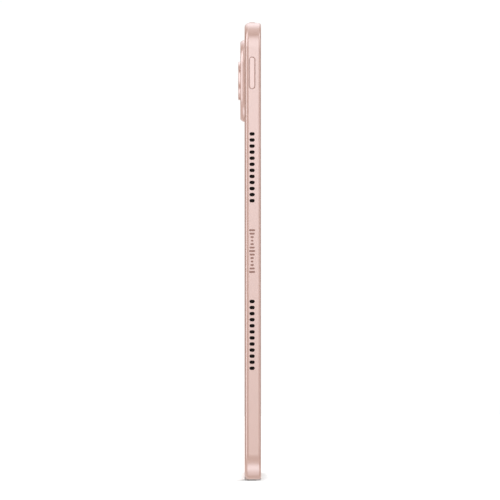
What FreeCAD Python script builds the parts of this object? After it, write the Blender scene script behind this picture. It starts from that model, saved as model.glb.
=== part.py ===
"""A 12-inch tablet computer standing on its long edge, built as the pieces it comes apart into.

Frame: +X runs along the long side, -Y is the way the screen faces, +Y the back, +Z up.
The origin is the middle of the lower long edge, at half the body's thickness. Millimetres.
"""

import FreeCAD, Part
import math
import os
import Sketcher

OUT_FOLDER = "parts"
LEAST_CUT = 1e-6  # cubic millimetres
SAME_LEVEL = 1e-4  # millimetres
QUARTER_TURN = 90  # degrees
FRONT, SIDE, TOP = "XZ_Plane", "YZ_Plane", "XY_Plane"
NORMAL = {FRONT: -1, SIDE: 1, TOP: 1}  # which way a sketch on that plane faces along its axis
AXIS_TURN = {
    "X": FreeCAD.Rotation(FreeCAD.Vector(0, 1, 0), 90),
    "Y": FreeCAD.Rotation(FreeCAD.Vector(1, 0, 0), -90),
    "Z": FreeCAD.Rotation(),
}

UPPER_LEFT = FreeCAD.Rotation(FreeCAD.Matrix(-1, 0, 0, 0, 0, 0, 1, 0, 0, 1, 0, 0))

DIMENSIONS = [
    # the body
    ("body_length", 279.0, "long side, along X"),
    ("body_height", 181.0, "short side, along Z"),
    ("body_thickness", 6.5, "screen face to back face, along Y"),
    ("corner_radius", 10.0, "the four corners, seen from the front"),
    ("back_edge_radius", 1.8, "round from the side wall to the back"),
    ("front_edge_radius", 1.0, "round from the side wall to the screen"),
    ("side_wall", 1.5, "housing side wall"),
    ("back_wall", 0.8, "housing back wall"),
    ("lip_width", 1.1, "outer edge to the recess that holds the display"),
    ("lip_depth", 1.1, "depth of that recess"),
    ("inner_fillet", 0.6, "round inside the housing, wall to back"),
    ("close_gap", 0.05, "parts that lie close together"),
    ("small_corner", 0.2, "corners of the smallest parts"),
    ("edge_line", 0.25, "buttons, holes and ports sit this far behind mid thickness"),
    # the display stack
    ("frame_gap", 0.05, "display frame to housing"),
    ("frame_lip", 0.25, "black lip of the display frame round the glass"),
    ("frame_set_back", 0.05, "display frame lip below the glass face"),
    ("frame_back", 1.8, "glass face to the back of the display frame"),
    ("glass_gap", 0.03, "glass to the display frame"),
    ("glass_thickness", 0.6, "cover glass"),
    ("glass_edge_radius", 0.2, "round on the front edge of the glass"),
    ("glue_line", 0.1, "glue between the glass and the display frame"),
    ("active_width", 260.6, "lit area of a 12.1 inch 16:10 display"),
    ("active_height", 162.9, "lit area, along Z"),
    ("panel_border", 1.5, "lit area to the panel edge, on three sides"),
    ("panel_driver_border", 3.2, "the same on the lower side, where the driver sits"),
    ("panel_clearance", 0.2, "panel to the display frame"),
    ("panel_thickness", 0.7, "liquid crystal cell with its polarisers"),
    ("sheet_gap", 0.02, "air between the backlight layers"),
    ("diffuser_thickness", 0.2, "diffuser and prism sheets"),
    ("guide_thickness", 0.4, "light guide plate"),
    ("reflector_thickness", 0.08, "reflector sheet"),
    ("tray_metal", 0.15, "backlight tray sheet metal"),
    ("tray_sheet_inset", 0.3, "tray edge to the sheets in it"),
    ("led_strip_height", 1.9, "room for the backlight LEDs below the light guide"),
    ("led_count", 24, "backlight LEDs"),
    ("led_pitch", 10.5, "backlight LED spacing"),
    ("led_width", 3.0, "backlight LED, along X"),
    ("led_height", 1.1, "backlight LED, along Z"),
    ("flex_thickness", 0.08, "flexible printed circuits"),
    ("display_flex_x", -12.0, "middle of the display flex"),
    ("display_flex_width", 20.0, "display flex"),
    ("graphite_width", 220.0, "heat spreader"),
    ("graphite_height", 110.0, "heat spreader, over the battery"),
    ("graphite_thickness", 0.06, "heat spreader"),
    # the buttons
    ("button_width", 2.2, "both buttons, across the edge"),
    ("button_gap", 0.12, "button to housing all round"),
    ("button_proud", 0.45, "buttons stand out of the edge"),
    ("button_crown", 0.25, "round on the top rim of a button"),
    ("power_length", 12.5, "power button"),
    ("power_z", 161.1, "middle of the power button"),
    ("flange_thickness", 0.4, "collar that keeps a button in the housing"),
    ("flange_overhang", 0.45, "collar past the button on each side"),
    ("flange_clearance", 0.3, "collar to the inside of the wall"),
    ("nub_radius", 0.7, "button foot that works the switch"),
    ("nub_length", 0.55, "button foot"),
    ("switch_depth", 1.2, "switch body, along the press"),
    ("switch_well_radius", 1.0, "well in the switch for the foot"),
    ("switch_well_depth", 0.55, "well in the switch"),
    ("switch_clearance", 0.15, "collar to the switch body, less the press"),
    ("switch_width", 2.8, "switch body across the edge"),
    ("switch_length", 3.6, "switch body along the edge"),
    ("press_travel", 0.25, "power button travel"),
    ("bracket_thickness", 0.5, "steel brackets behind the switches"),
    ("rocker_length", 22.0, "volume rocker"),
    ("rocker_x", -104.0, "middle of the volume rocker"),
    ("rocker_switch_offset", 7.5, "volume switches from the rocker's middle"),
    ("pivot_radius", 0.45, "rocker pivot pin"),
    ("pivot_clearance", 0.05, "pivot pin to its saddle"),
    ("pivot_depth", 3.7, "pivot axis below the top edge"),
    ("pivot_web", 0.9, "web that joins the pivot pin to the rocker"),
    ("saddle_width", 2.6, "saddle that the pin lies in, along X"),
    ("saddle_depth", 2.2, "saddle that the pin lies in, along Y"),
    ("flex_bend", 7.0, "bend of the button flex in the corner"),
    # the speakers
    ("hole_count", 12, "holes in each speaker grille"),
    ("hole_pitch", 2.405, "speaker hole spacing"),
    ("hole_width", 2.0, "speaker hole, across the edge"),
    ("hole_height", 1.25, "speaker hole, along the edge"),
    ("grille_offset", 33.2, "middle of a grille from the middle of the short side"),
    ("mesh_thickness", 0.3, "woven mesh behind a grille"),
    ("mesh_height", 29.5, "woven mesh, along Z"),
    ("mesh_width", 2.6, "woven mesh, along Y"),
    ("speaker_depth", 18.0, "speaker box, along X"),
    ("speaker_height", 33.0, "speaker box, along Z"),
    ("speaker_front", -0.75, "front face of the speaker box"),
    ("speaker_back", 2.3, "back face of the speaker box"),
    ("nozzle_depth", 4.0, "sound duct in the speaker box"),
    ("membrane_depth", 0.35, "recess in front of the speaker membrane"),
    ("ear_size", 4.4, "speaker box screw ear"),
    ("ear_thickness", 0.8, "speaker box screw ear"),
    ("ear_set_back", 0.3, "speaker box screw ear from the back of the box"),
    ("ear_overlap", 1.5, "speaker box screw ear, the part in the box"),
    # the rear camera
    ("island_size", 32.3, "camera island, both ways"),
    ("island_corner", 9.5, "camera island corners"),
    ("island_height", 1.68, "camera island above the back"),
    ("island_edge_radius", 1.05, "round on the camera island's edge"),
    ("island_margin", 6.76, "camera island from the body's top and side"),
    ("island_bore", 6.0, "hole in the island for the lens"),
    ("ring_radius", 7.65, "camera ring"),
    ("ring_height", 0.85, "camera ring above the island"),
    ("ring_edge_radius", 0.3, "round on the camera ring"),
    ("ring_bore", 5.4, "camera ring, under the window"),
    ("ring_spigot", 5.9, "camera ring, the part in the island"),
    ("ring_spigot_length", 0.9, "camera ring, the part in the island"),
    ("window_radius", 6.3, "camera window"),
    ("window_thickness", 0.5, "camera window"),
    ("window_set_back", 0.2, "camera window below the ring's rim"),
    ("camera_size", 9.5, "rear camera housing, both ways"),
    ("camera_corner", 1.2, "rear camera housing corners"),
    ("camera_opening", 10.1, "opening in the back wall for the rear camera"),
    ("camera_front", -0.6, "front of the rear camera's circuit board"),
    ("camera_board", 0.4, "rear camera circuit board"),
    ("camera_flex_run", 2.0, "rear camera flex before its step"),
    ("turret_radius", 4.4, "round neck of the rear camera"),
    ("turret_back", 4.3, "end of that neck"),
    ("barrel_radius", 3.2, "lens barrel"),
    ("barrel_clearance", 0.08, "lens barrel in its bore"),
    ("barrel_front", 1.0, "front end of the lens barrel"),
    ("barrel_back", 4.55, "back end of the lens barrel"),
    ("barrel_pupil", 2.0, "opening at the back of the lens barrel"),
    ("barrel_dish", 0.5, "depth of that opening"),
    ("flash_offset", 10.2, "flash from the lens, both ways"),
    ("flash_radius", 2.0, "flash lens"),
    ("flash_lens_thickness", 1.0, "flash lens"),
    ("flash_led_size", 2.4, "flash LED, both ways"),
    ("flash_led_thickness", 0.7, "flash LED"),
    ("flash_opening", 2.4, "hole in the back wall for the flash"),
    # the front camera and sensors
    ("selfie_z", 176.3, "front camera height"),
    ("selfie_size", 4.8, "front camera housing, both ways"),
    ("selfie_length", 3.2, "front camera housing, along Y"),
    ("selfie_lens_radius", 1.4, "front camera lens"),
    ("selfie_lens_length", 1.2, "front camera lens"),
    ("sensor_x", 12.0, "light sensor"),
    ("sensor_width", 1.8, "light sensor"),
    ("sensor_height", 1.2, "light sensor"),
    ("sensor_thickness", 0.8, "light sensor"),
    ("under_glass_gap", 0.05, "front camera and light sensor to the glass"),
    ("microphone_x", 70.0, "microphones each side of the middle"),
    ("microphone_hole", 0.4, "microphone hole radius"),
    ("microphone_width", 3.5, "microphone"),
    ("microphone_depth", 1.0, "microphone, along Z"),
    ("microphone_height", 2.6, "microphone, along Y"),
    # the battery
    ("cell_width", 95.0, "battery cell, along X"),
    ("cell_height", 111.0, "battery cell, along Z"),
    ("cell_front", -0.7, "front face of the cells"),
    ("cell_back", 2.25, "back face of the cells"),
    ("cell_bottom", 10.0, "lower edge of the cells"),
    ("cell_offset", 50.0, "cell middles from the tablet's middle"),
    ("cell_corner", 2.0, "cell corners"),
    ("cell_edge_radius", 1.0, "rounded edges of the pouch"),
    ("battery_board_length", 150.0, "protection circuit"),
    ("battery_board_height", 4.0, "protection circuit"),
    ("battery_board_thickness", 1.3, "protection circuit"),
    ("tape_width", 18.0, "pull tapes that hold the cells"),
    ("tape_height", 104.0, "pull tapes"),
    ("tape_thickness", 0.16, "pull tapes"),
    ("tape_offset", 27.0, "pull tapes from a cell's middle"),
    # the main board
    ("board_left", -99.0, "main board"),
    ("board_right", 46.0, "main board"),
    ("board_bottom", 128.0, "main board"),
    ("board_top", 172.4, "main board"),
    ("board_front", 1.25, "component face of the main board"),
    ("board_thickness", 0.8, "circuit boards"),
    ("board_corner", 1.5, "circuit board corners"),
    ("board_screw_inset", 3.0, "screws from the board edges"),
    ("shield_height", 1.6, "shield cans"),
    ("shield_metal", 0.15, "shield cans"),
    ("shield_x", -56.0, "large shield"),
    ("shield_z", 150.0, "both shields"),
    ("shield_width", 52.0, "large shield"),
    ("shield_tall", 32.0, "both shields, along Z"),
    ("radio_shield_x", -12.0, "small shield"),
    ("radio_shield_width", 26.0, "small shield"),
    ("chip_thickness", 1.1, "chips under the shields"),
    ("processor_size", 15.0, "processor"),
    ("memory_size", 12.0, "memory"),
    ("power_chip_size", 8.0, "power controller"),
    ("radio_chip_size", 10.0, "radio"),
    ("connector_length", 9.0, "board connectors"),
    ("connector_width", 2.4, "board connectors"),
    ("connector_height", 0.8, "board connectors"),
    # the memory card tray
    ("tray_x", 28.0, "memory card tray"),
    ("tray_cap_length", 15.6, "cap of the tray, along X"),
    ("tray_cap_width", 2.0, "cap of the tray, along Y"),
    ("tray_cap_depth", 1.6, "cap of the tray, along Z"),
    ("tray_gap", 0.08, "cap to housing all round"),
    ("tray_body_shift", -1.0, "tray body from the cap's middle"),
    ("tray_body_width", 12.4, "tray body"),
    ("tray_body_length", 16.0, "tray body, along Z"),
    ("tray_body_thickness", 0.9, "tray body, along Y"),
    ("tray_joint", 0.2, "tray body let into the cap"),
    ("card_width", 11.1, "pocket for the memory card"),
    ("card_length", 15.1, "pocket for the memory card"),
    ("card_depth", 0.7, "pocket for the memory card"),
    ("card_margin", 0.3, "cap to the pocket"),
    ("eject_hole_radius", 0.45, "hole for the eject pin"),
    ("eject_shift", 6.45, "eject hole from the cap's middle"),
    ("eject_rod_width", 1.0, "rod behind the eject hole"),
    ("eject_rod_thickness", 0.8, "rod behind the eject hole"),
    ("eject_rod_gap", 0.3, "rod to the tray's cap"),
    ("eject_rod_length", 16.4, "rod behind the eject hole"),
    ("socket_wall", 0.2, "card socket sheet metal"),
    ("socket_clearance", 0.15, "card socket to the tray"),
    ("socket_depth", 2.4, "socket past the end of the tray, room for the rod's 1.5 mm press"),
    # the USB-C port
    ("usb_opening_height", 8.34, "mouth of the port, along Z"),
    ("usb_opening_width", 2.56, "mouth of the port, along Y"),
    ("usb_shell_wall", 0.3, "port shell"),
    ("usb_gap", 0.07, "port shell to housing"),
    ("usb_set_back", 0.3, "port shell below the edge"),
    ("usb_shell_depth", 6.9, "port shell, along X"),
    ("usb_base_depth", 1.4, "plastic base in the port shell"),
    ("usb_tongue_height", 6.7, "port tongue, along Z"),
    ("usb_tongue_width", 0.7, "port tongue, along Y"),
    ("usb_tongue_length", 4.4, "port tongue, along X"),
    ("usb_contact_count", 12, "contacts on each face of the tongue"),
    ("usb_contact_pitch", 0.5, "contacts"),
    ("usb_contact_width", 0.25, "contacts"),
    ("usb_contact_length", 3.6, "contacts"),
    ("usb_contact_thickness", 0.05, "contacts"),
    ("usb_board_front", 0.33, "front face of the port's circuit board"),
    ("usb_board_inner", 112.0, "port's circuit board, inner edge"),
    ("usb_board_outer", 137.8, "port's circuit board, outer edge"),
    ("usb_board_height", 24.0, "port's circuit board, along Z"),
    ("usb_notch_clearance", 0.15, "port shell in its board's notch"),
    ("usb_screw_x", 116.0, "screws of the port's board"),
    ("usb_screw_offset", 9.0, "screws of the port's board from the middle"),
    ("link_inner", 101.0, "link flex, inner edge"),
    ("link_width", 8.0, "link flex"),
    ("link_thickness", 0.12, "link flex"),
    ("link_overlap", 6.0, "link flex on each board"),
    # antennas and keyboard contacts
    ("antenna_width", 30.0, "antenna flex"),
    ("antenna_height", 5.2, "antenna flex"),
    ("antenna_thickness", 0.1, "antenna flex"),
    ("antenna_left", -45.0, "left antenna"),
    ("antenna_right", 112.0, "right antenna"),
    ("antenna_z", 176.4, "both antennas"),
    ("contact_block_length", 14.0, "keyboard contact insert"),
    ("contact_block_width", 2.6, "keyboard contact insert"),
    ("contact_block_height", 2.2, "keyboard contact insert"),
    ("contact_set_back", 0.05, "keyboard contact insert above the edge"),
    ("contact_pitch", 4.5, "keyboard contacts"),
    ("contact_radius", 0.75, "keyboard contacts"),
    ("contact_length", 3.0, "keyboard contacts"),
    # screws
    ("screw_radius", 0.6, "screw threads"),
    ("screw_head_radius", 1.25, "screw heads"),
    ("screw_head_height", 0.35, "screw heads"),
    ("screw_bite", 0.7, "screw length below what it holds"),
    ("screw_clearance", 0.15, "screw to the hole in what it holds"),
    ("pilot_extra", 0.05, "pilot hole past the screw's end"),
    ("boss_radius", 1.7, "screw bosses"),
]


class Size:
    """A length that carries both its value and the spreadsheet expression that gives it."""

    def __init__(self, text, value):
        self.text = text
        self.value = float(value)

    def _with(self, sign, other, value):
        return Size(f"({self.text} {sign} {as_size(other).text})", value)

    def __add__(self, other):
        return self._with("+", other, self.value + as_size(other).value)

    def __sub__(self, other):
        return self._with("-", other, self.value - as_size(other).value)

    def __mul__(self, other):
        return self._with("*", other, self.value * as_size(other).value)

    def __truediv__(self, other):
        return self._with("/", other, self.value / as_size(other).value)

    def __neg__(self):
        return Size(f"(0 - {self.text})", -self.value)


def as_size(item):
    return item if isinstance(item, Size) else Size(str(float(item)), item)


class Sheet:
    """The spreadsheet's cells as Size attributes."""

    def __init__(self, document):
        self.cells = document.addObject("Spreadsheet::Sheet", "Dims")
        for row, (alias, value, note) in enumerate(DIMENSIONS, start=1):
            self.cells.set(f"A{row}", alias)
            self.cells.set(f"B{row}", str(value))
            self.cells.set(f"C{row}", note)
            self.cells.setAlias(f"B{row}", alias)
            setattr(self, alias, Size(f"Dims.{alias}", value))


doc = FreeCAD.newDocument("tablet")
d = Sheet(doc)
doc.recompute()
pieces = []

# Places that many pieces share.
FACE = -d.body_thickness / 2  # glass face
BACK = d.body_thickness / 2  # back face
INNER_BACK = BACK - d.back_wall
END_X = d.body_length / 2  # outer face of the right-hand edge
INNER_X = END_X - d.side_wall
TOP_Z = d.body_height
INNER_TOP = TOP_Z - d.side_wall
MID_Z = d.body_height / 2
CAMERA_X = d.island_margin + d.island_size / 2 - END_X
CAMERA_Z = TOP_Z - d.island_margin - d.island_size / 2
FLASH_X = CAMERA_X + d.flash_offset
FLASH_Z = CAMERA_Z - d.flash_offset
ISLAND_TOP = BACK + d.island_height
RING_TOP = ISLAND_TOP + d.ring_height
GLASS_BACK = FACE + d.glass_thickness
PANEL_BACK = GLASS_BACK + d.panel_thickness
DIFFUSER_FRONT = PANEL_BACK + d.sheet_gap
GUIDE_FRONT = DIFFUSER_FRONT + d.diffuser_thickness + d.sheet_gap
REFLECTOR_FRONT = GUIDE_FRONT + d.guide_thickness + d.sheet_gap
TRAY_FLOOR = REFLECTOR_FRONT + d.reflector_thickness + d.sheet_gap
TRAY_BACK = TRAY_FLOOR + d.tray_metal
PANEL_WIDTH = d.active_width + d.panel_border * 2
PANEL_HEIGHT = d.active_height + d.panel_border + d.panel_driver_border
PANEL_Z = MID_Z + (d.panel_border - d.panel_driver_border) / 2
PANEL_BOTTOM = PANEL_Z - PANEL_HEIGHT / 2
# From the edge to the inside of a button's collar, and to the switch behind it.
COLLAR_DEPTH = d.side_wall + d.flange_clearance + d.flange_thickness
SWITCH_DEPTH = COLLAR_DEPTH + d.press_travel + d.switch_clearance
USB_FACE = END_X - d.usb_set_back
CARD_X = d.tray_x + d.tray_body_shift
CARD_END = TOP_Z - d.tray_cap_depth - d.tray_body_length
EJECT_X = d.tray_x + d.eject_shift
PLUG_Z = d.board_bottom + d.connector_width / 2 + d.panel_clearance


# ---- building blocks -------------------------------------------------------------------------------


def bind(item, **sizes):
    """Ties properties of an object to spreadsheet expressions."""
    for name, size in sizes.items():
        item.setExpression(name, as_size(size).text)


def keep(item, label):
    """Makes an object one of the sub-parts that are written out."""
    item.Label = label
    pieces.append(item)
    return item


def put(item, x=0, y=0, z=0):
    """Ties an object's place to spreadsheet expressions."""
    for axis, size in zip("xyz", (x, y, z)):
        item.setExpression(f"Placement.Base.{axis}", as_size(size).text)
    return item


def box(name, centre, size):
    """A Part box by its middle and its size."""
    item = doc.addObject("Part::Box", name)
    bind(item, Length=size[0], Width=size[1], Height=size[2])
    low = [as_size(c) - as_size(s) / 2 for c, s in zip(centre, size)]
    return put(item, *low)


def span(name, x, y, z):
    """A Part box by its low and high place along each axis."""
    limits = [(as_size(low), as_size(high)) for low, high in (x, y, z)]
    item = doc.addObject("Part::Box", name)
    bind(item, Length=limits[0][1] - limits[0][0], Width=limits[1][1] - limits[1][0])
    bind(item, Height=limits[2][1] - limits[2][0])
    return put(item, *[low for low, _ in limits])


def rod(name, axis, start, radius, length):
    """A Part cylinder from a start point along an axis."""
    item = doc.addObject("Part::Cylinder", name)
    item.Placement = FreeCAD.Placement(FreeCAD.Vector(), AXIS_TURN[axis])
    bind(item, Radius=radius, Height=length)
    return put(item, *start)


def quarter_round(name, start, radius, length):
    """A quarter cylinder along Y that fills the upper left quarter round its start point."""
    item = rod(name, "Y", start, radius, length)
    item.Placement = FreeCAD.Placement(FreeCAD.Vector(), UPPER_LEFT)
    item.Angle = QUARTER_TURN
    return put(item, *start)


def fuse(name, parts):
    item = doc.addObject("Part::MultiFuse", name)
    item.Shapes = parts
    return item


def cut(name, base, tool):
    item = doc.addObject("Part::Cut", name)
    item.Base = base
    item.Tool = tool
    return item


def group(name, parts):
    """Separate solids that share one sub-part."""
    item = doc.addObject("Part::Compound", name)
    item.Links = parts
    return item


def new_body(label):
    return keep(doc.addObject("PartDesign::Body", label), label)


def origin_item(body, role):
    return next(item for item in body.Origin.OriginFeatures if item.Role == role)


def new_sketch(body, plane, level, centre=(0, 0)):
    """A sketch on one of the body's own planes, moved to a level and centred on a point."""
    sketch = body.newObject("Sketcher::SketchObject", "Sketch")
    sketch.AttachmentSupport = (origin_item(body, plane), [""])
    sketch.MapMode = "FlatFace"
    sketch.setExpression("AttachmentOffset.Base.x", as_size(centre[0]).text)
    sketch.setExpression("AttachmentOffset.Base.y", as_size(centre[1]).text)
    sketch.setExpression("AttachmentOffset.Base.z", (as_size(level) * NORMAL[plane]).text)
    return sketch


def measure(sketch, size, kind, *where):
    """Adds a driving constraint and ties it to the spreadsheet."""
    size = as_size(size)
    number = sketch.addConstraint(Sketcher.Constraint(kind, *where, size.value))
    sketch.setExpression(f"Constraints[{number}]", size.text)


def draw_rectangle(sketch, width, height, radius):
    """A rectangle with round corners about the sketch's origin."""
    width, height, radius = as_size(width), as_size(height), as_size(radius)
    x, y, r = width.value / 2, height.value / 2, radius.value
    corners = [(x - r, r - y), (x - r, y - r), (r - x, y - r), (r - x, r - y)]
    ends = [
        ((r - x, -y), (x - r, -y)),
        ((x, r - y), (x, y - r)),
        ((x - r, y), (r - x, y)),
        ((-x, y - r), (-x, r - y)),
    ]
    for start, end in ends:
        sketch.addGeometry(Part.LineSegment(FreeCAD.Vector(*start, 0), FreeCAD.Vector(*end, 0)))
    for quarter, corner in enumerate(corners):
        circle = Part.Circle(FreeCAD.Vector(*corner, 0), FreeCAD.Vector(0, 0, 1), r)
        start_angle = math.radians(QUARTER_TURN * (quarter - 1))
        sketch.addGeometry(Part.ArcOfCircle(circle, start_angle, start_angle + math.pi / 2))
    for line in range(4):
        sketch.addConstraint(Sketcher.Constraint("Vertical" if line % 2 else "Horizontal", line))
        sketch.addConstraint(Sketcher.Constraint("Tangent", line, 2, 4 + line, 1))
        sketch.addConstraint(Sketcher.Constraint("Tangent", 4 + line, 2, (line + 1) % 4, 1))
    for arc in (5, 6, 7):
        sketch.addConstraint(Sketcher.Constraint("Equal", 4, arc))
    sketch.addConstraint(Sketcher.Constraint("Symmetric", 4, 3, 6, 3, -1, 1))
    measure(sketch, radius, "Radius", 4)
    measure(sketch, width, "DistanceX", 3, 1, 1, 1)
    measure(sketch, height, "DistanceY", 0, 1, 2, 1)


def draw_stadium(sketch, width, height):
    """A slot with two half-round ends about the sketch's origin, long way as its sizes say."""
    width, height = as_size(width), as_size(height)
    lying = width.value > height.value
    longer, shorter = (width, height) if lying else (height, width)
    r = shorter.value / 2
    reach = longer.value / 2 - r

    def at(along, across):
        return FreeCAD.Vector(along, across, 0) if lying else FreeCAD.Vector(-across, along, 0)

    def round_end(along, start_angle):
        circle = Part.Circle(at(along, 0), FreeCAD.Vector(0, 0, 1), r)
        return Part.ArcOfCircle(circle, start_angle, start_angle + math.pi)

    turn = 0 if lying else math.pi / 2
    sketch.addGeometry(Part.LineSegment(at(-reach, -r), at(reach, -r)))
    sketch.addGeometry(round_end(reach, turn - math.pi / 2))
    sketch.addGeometry(Part.LineSegment(at(reach, r), at(-reach, r)))
    sketch.addGeometry(round_end(-reach, turn + math.pi / 2))
    for piece in range(4):
        sketch.addConstraint(Sketcher.Constraint("Tangent", piece, 2, (piece + 1) % 4, 1))
    sketch.addConstraint(Sketcher.Constraint("Horizontal" if lying else "Vertical", 0))
    sketch.addConstraint(Sketcher.Constraint("Symmetric", 1, 3, 3, 3, -1, 1))
    measure(sketch, shorter / 2, "Radius", 1)
    if lying:
        measure(sketch, longer - shorter, "DistanceX", 3, 3, 1, 3)
    else:
        measure(sketch, longer - shorter, "DistanceY", 3, 3, 1, 3)


def draw_circles(sketch, radius, points=((0, 0),)):
    """Circles of one radius at points given from the sketch's origin."""
    for across, up in points:
        across, up = as_size(across), as_size(up)
        centre = FreeCAD.Vector(across.value, up.value, 0)
        circle = Part.Circle(centre, FreeCAD.Vector(0, 0, 1), as_size(radius).value)
        number = sketch.addGeometry(circle)
        measure(sketch, radius, "Radius", number)
        measure(sketch, across, "DistanceX", -1, 1, number, 3)
        measure(sketch, up, "DistanceY", -1, 1, number, 3)


def pad(body, sketch, length, plane, towards=1):
    feature = body.newObject("PartDesign::Pad", "Pad")
    feature.Profile = sketch
    feature.Reversed = towards != NORMAL[plane]
    bind(feature, Length=length)
    body.Tip = feature
    return feature


def pocket(body, sketch, depth, plane, towards=1):
    """Cuts a sketch's outline away, and makes sure that something was cut."""
    doc.recompute()
    before = body.Shape.Volume
    feature = body.newObject("PartDesign::Pocket", "Pocket")
    feature.Profile = sketch
    feature.Reversed = towards == NORMAL[plane]
    bind(feature, Length=depth)
    body.Tip = feature
    doc.recompute()
    if body.Shape.Volume > before - LEAST_CUT:
        raise RuntimeError(f"a pocket in {body.Label} cut nothing")
    return feature


def fillet(body, radius, chosen):
    """Rounds the edges of the body's last feature that a test picks out."""
    doc.recompute()
    base = body.Tip
    names = [f"Edge{n}" for n, edge in enumerate(base.Shape.Edges, start=1) if chosen(edge)]
    feature = body.newObject("PartDesign::Fillet", "Fillet")
    feature.Base = (base, names)
    bind(feature, Radius=radius)
    body.Tip = feature
    return feature


def lies_at(axis, level):
    """A test for edges that lie wholly at one level of an axis, 0, 1 or 2."""
    value = as_size(level).value

    def test(edge):
        low = (edge.BoundBox.XMin, edge.BoundBox.YMin, edge.BoundBox.ZMin)[axis]
        high = (edge.BoundBox.XMax, edge.BoundBox.YMax, edge.BoundBox.ZMax)[axis]
        return abs(low - value) < SAME_LEVEL and abs(high - value) < SAME_LEVEL

    return test


def plate(label, centre, size, radius, front, thickness):
    """A flat piece parallel to the screen: a rounded rectangle from its front level backwards."""
    body = new_body(label)
    sketch = new_sketch(body, FRONT, front, centre)
    draw_rectangle(sketch, size[0], size[1], radius)
    pad(body, sketch, thickness, FRONT)
    return body


# ---- housing -----------------------------------------------------------------------------------------


def inset_outline(body, level, inset):
    """The tablet's outline, moved inwards, at a level of Y."""
    inset = as_size(inset)
    sketch = new_sketch(body, FRONT, level, (0, MID_Z))
    draw_rectangle(sketch, d.body_length - inset * 2, d.body_height - inset * 2, d.corner_radius - inset)
    return sketch


def board_screw_points():
    left, right = d.board_left + d.board_screw_inset, d.board_right - d.board_screw_inset
    low, high = d.board_bottom + d.board_screw_inset, d.board_top - d.board_screw_inset
    return [(left, low), (left, high), (d.radio_shield_x + d.connector_length * 2, low), (right, low)]


def usb_screw_points():
    return [(d.usb_screw_x, MID_Z - d.usb_screw_offset), (d.usb_screw_x, MID_Z + d.usb_screw_offset)]


def speaker_middle(right, upper):
    """Middle of a speaker box in X and Z."""
    x = INNER_X - d.mesh_thickness - d.speaker_depth / 2
    return (x if right else -x), (MID_Z + d.grille_offset if upper else MID_Z - d.grille_offset)


def speaker_ear_points(right, upper):
    x, z = speaker_middle(right, upper)
    reach = (d.speaker_height + d.ear_size) / 2
    inward = x - d.speaker_depth / 4 if right else x + d.speaker_depth / 4
    return [(inward, z - reach), (inward, z + reach)]


SPEAKERS = [
    ("lower_left", False, False),
    ("upper_left", False, True),
    ("lower_right", True, False),
    ("upper_right", True, True),
]
SPEAKER_EAR_BACK = d.speaker_back - d.ear_set_back
BOSSES = [
    (board_screw_points(), d.board_front + d.board_thickness),
    (usb_screw_points(), d.usb_board_front + d.board_thickness),
    ([p for _, right, upper in SPEAKERS for p in speaker_ear_points(right, upper)], SPEAKER_EAR_BACK),
]


def housing_shell(body):
    """The open aluminium box: outline, rounded edges and the room inside."""
    pad(body, inset_outline(body, FACE, 0), d.body_thickness, FRONT)
    fillet(body, d.back_edge_radius, lies_at(1, BACK))
    fillet(body, d.front_edge_radius, lies_at(1, FACE))
    pocket(body, inset_outline(body, FACE, d.lip_width), d.lip_depth, FRONT)
    pocket(body, inset_outline(body, FACE, d.side_wall), d.body_thickness - d.back_wall, FRONT)
    fillet(body, d.inner_fillet, lies_at(1, INNER_BACK))


def housing_bosses(body):
    """Round bosses that the screws bite into, each with its pilot hole."""
    for points, top in BOSSES:
        sketch = new_sketch(body, FRONT, INNER_BACK)
        draw_circles(sketch, d.boss_radius, points)
        pad(body, sketch, INNER_BACK - top, FRONT, towards=-1)
    for points, top in BOSSES:
        sketch = new_sketch(body, FRONT, top)
        draw_circles(sketch, d.screw_radius, points)
        pocket(body, sketch, d.screw_bite + d.pilot_extra, FRONT)


def housing_grilles(body):
    """A row of speaker holes at each end of both short edges."""
    for _, right, upper in SPEAKERS:
        row_middle = speaker_middle(right, upper)[1]
        first = row_middle - d.hole_pitch * (d.hole_count - 1) / 2
        sketch = new_sketch(body, SIDE, END_X if right else -END_X, (d.edge_line, first))
        draw_stadium(sketch, d.hole_width, d.hole_height)
        hole = pocket(body, sketch, d.side_wall, SIDE, towards=-1 if right else 1)
        row = body.newObject("PartDesign::LinearPattern", "Grille")
        row.Originals = [hole]
        row.Direction = (origin_item(body, "Z_Axis"), [""])
        bind(row, Length=d.hole_pitch * (d.hole_count - 1), Occurrences=d.hole_count)
        body.Tip = row


def housing_edge_openings(body):
    """Openings for the buttons, the card tray, the USB-C port, the contacts and the microphones."""
    gap = d.button_gap * 2
    sketch = new_sketch(body, SIDE, -END_X, (d.edge_line, d.power_z))
    draw_stadium(sketch, d.button_width + gap, d.power_length + gap)
    pocket(body, sketch, d.side_wall, SIDE)
    sketch = new_sketch(body, SIDE, END_X, (d.edge_line, MID_Z))
    usb_rim = (d.usb_shell_wall + d.usb_gap) * 2
    draw_stadium(sketch, d.usb_opening_width + usb_rim, d.usb_opening_height + usb_rim)
    pocket(body, sketch, d.side_wall, SIDE, towards=-1)
    top_slots = [
        (d.rocker_x, d.rocker_length + gap, d.button_width + gap),
        (d.tray_x, d.tray_cap_length + d.tray_gap * 2, d.tray_cap_width + d.tray_gap * 2),
    ]
    for x, length, width in top_slots:
        sketch = new_sketch(body, TOP, TOP_Z, (x, d.edge_line))
        draw_stadium(sketch, length, width)
        pocket(body, sketch, d.side_wall, TOP, towards=-1)
    sketch = new_sketch(body, TOP, TOP_Z, (0, d.edge_line))
    draw_circles(sketch, d.microphone_hole, [(-d.microphone_x, 0), (d.microphone_x, 0)])
    pocket(body, sketch, d.side_wall, TOP, towards=-1)
    sketch = new_sketch(body, TOP, 0, (0, 0))
    draw_stadium(sketch, d.contact_block_length, d.contact_block_width)
    pocket(body, sketch, d.side_wall, TOP)


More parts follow.
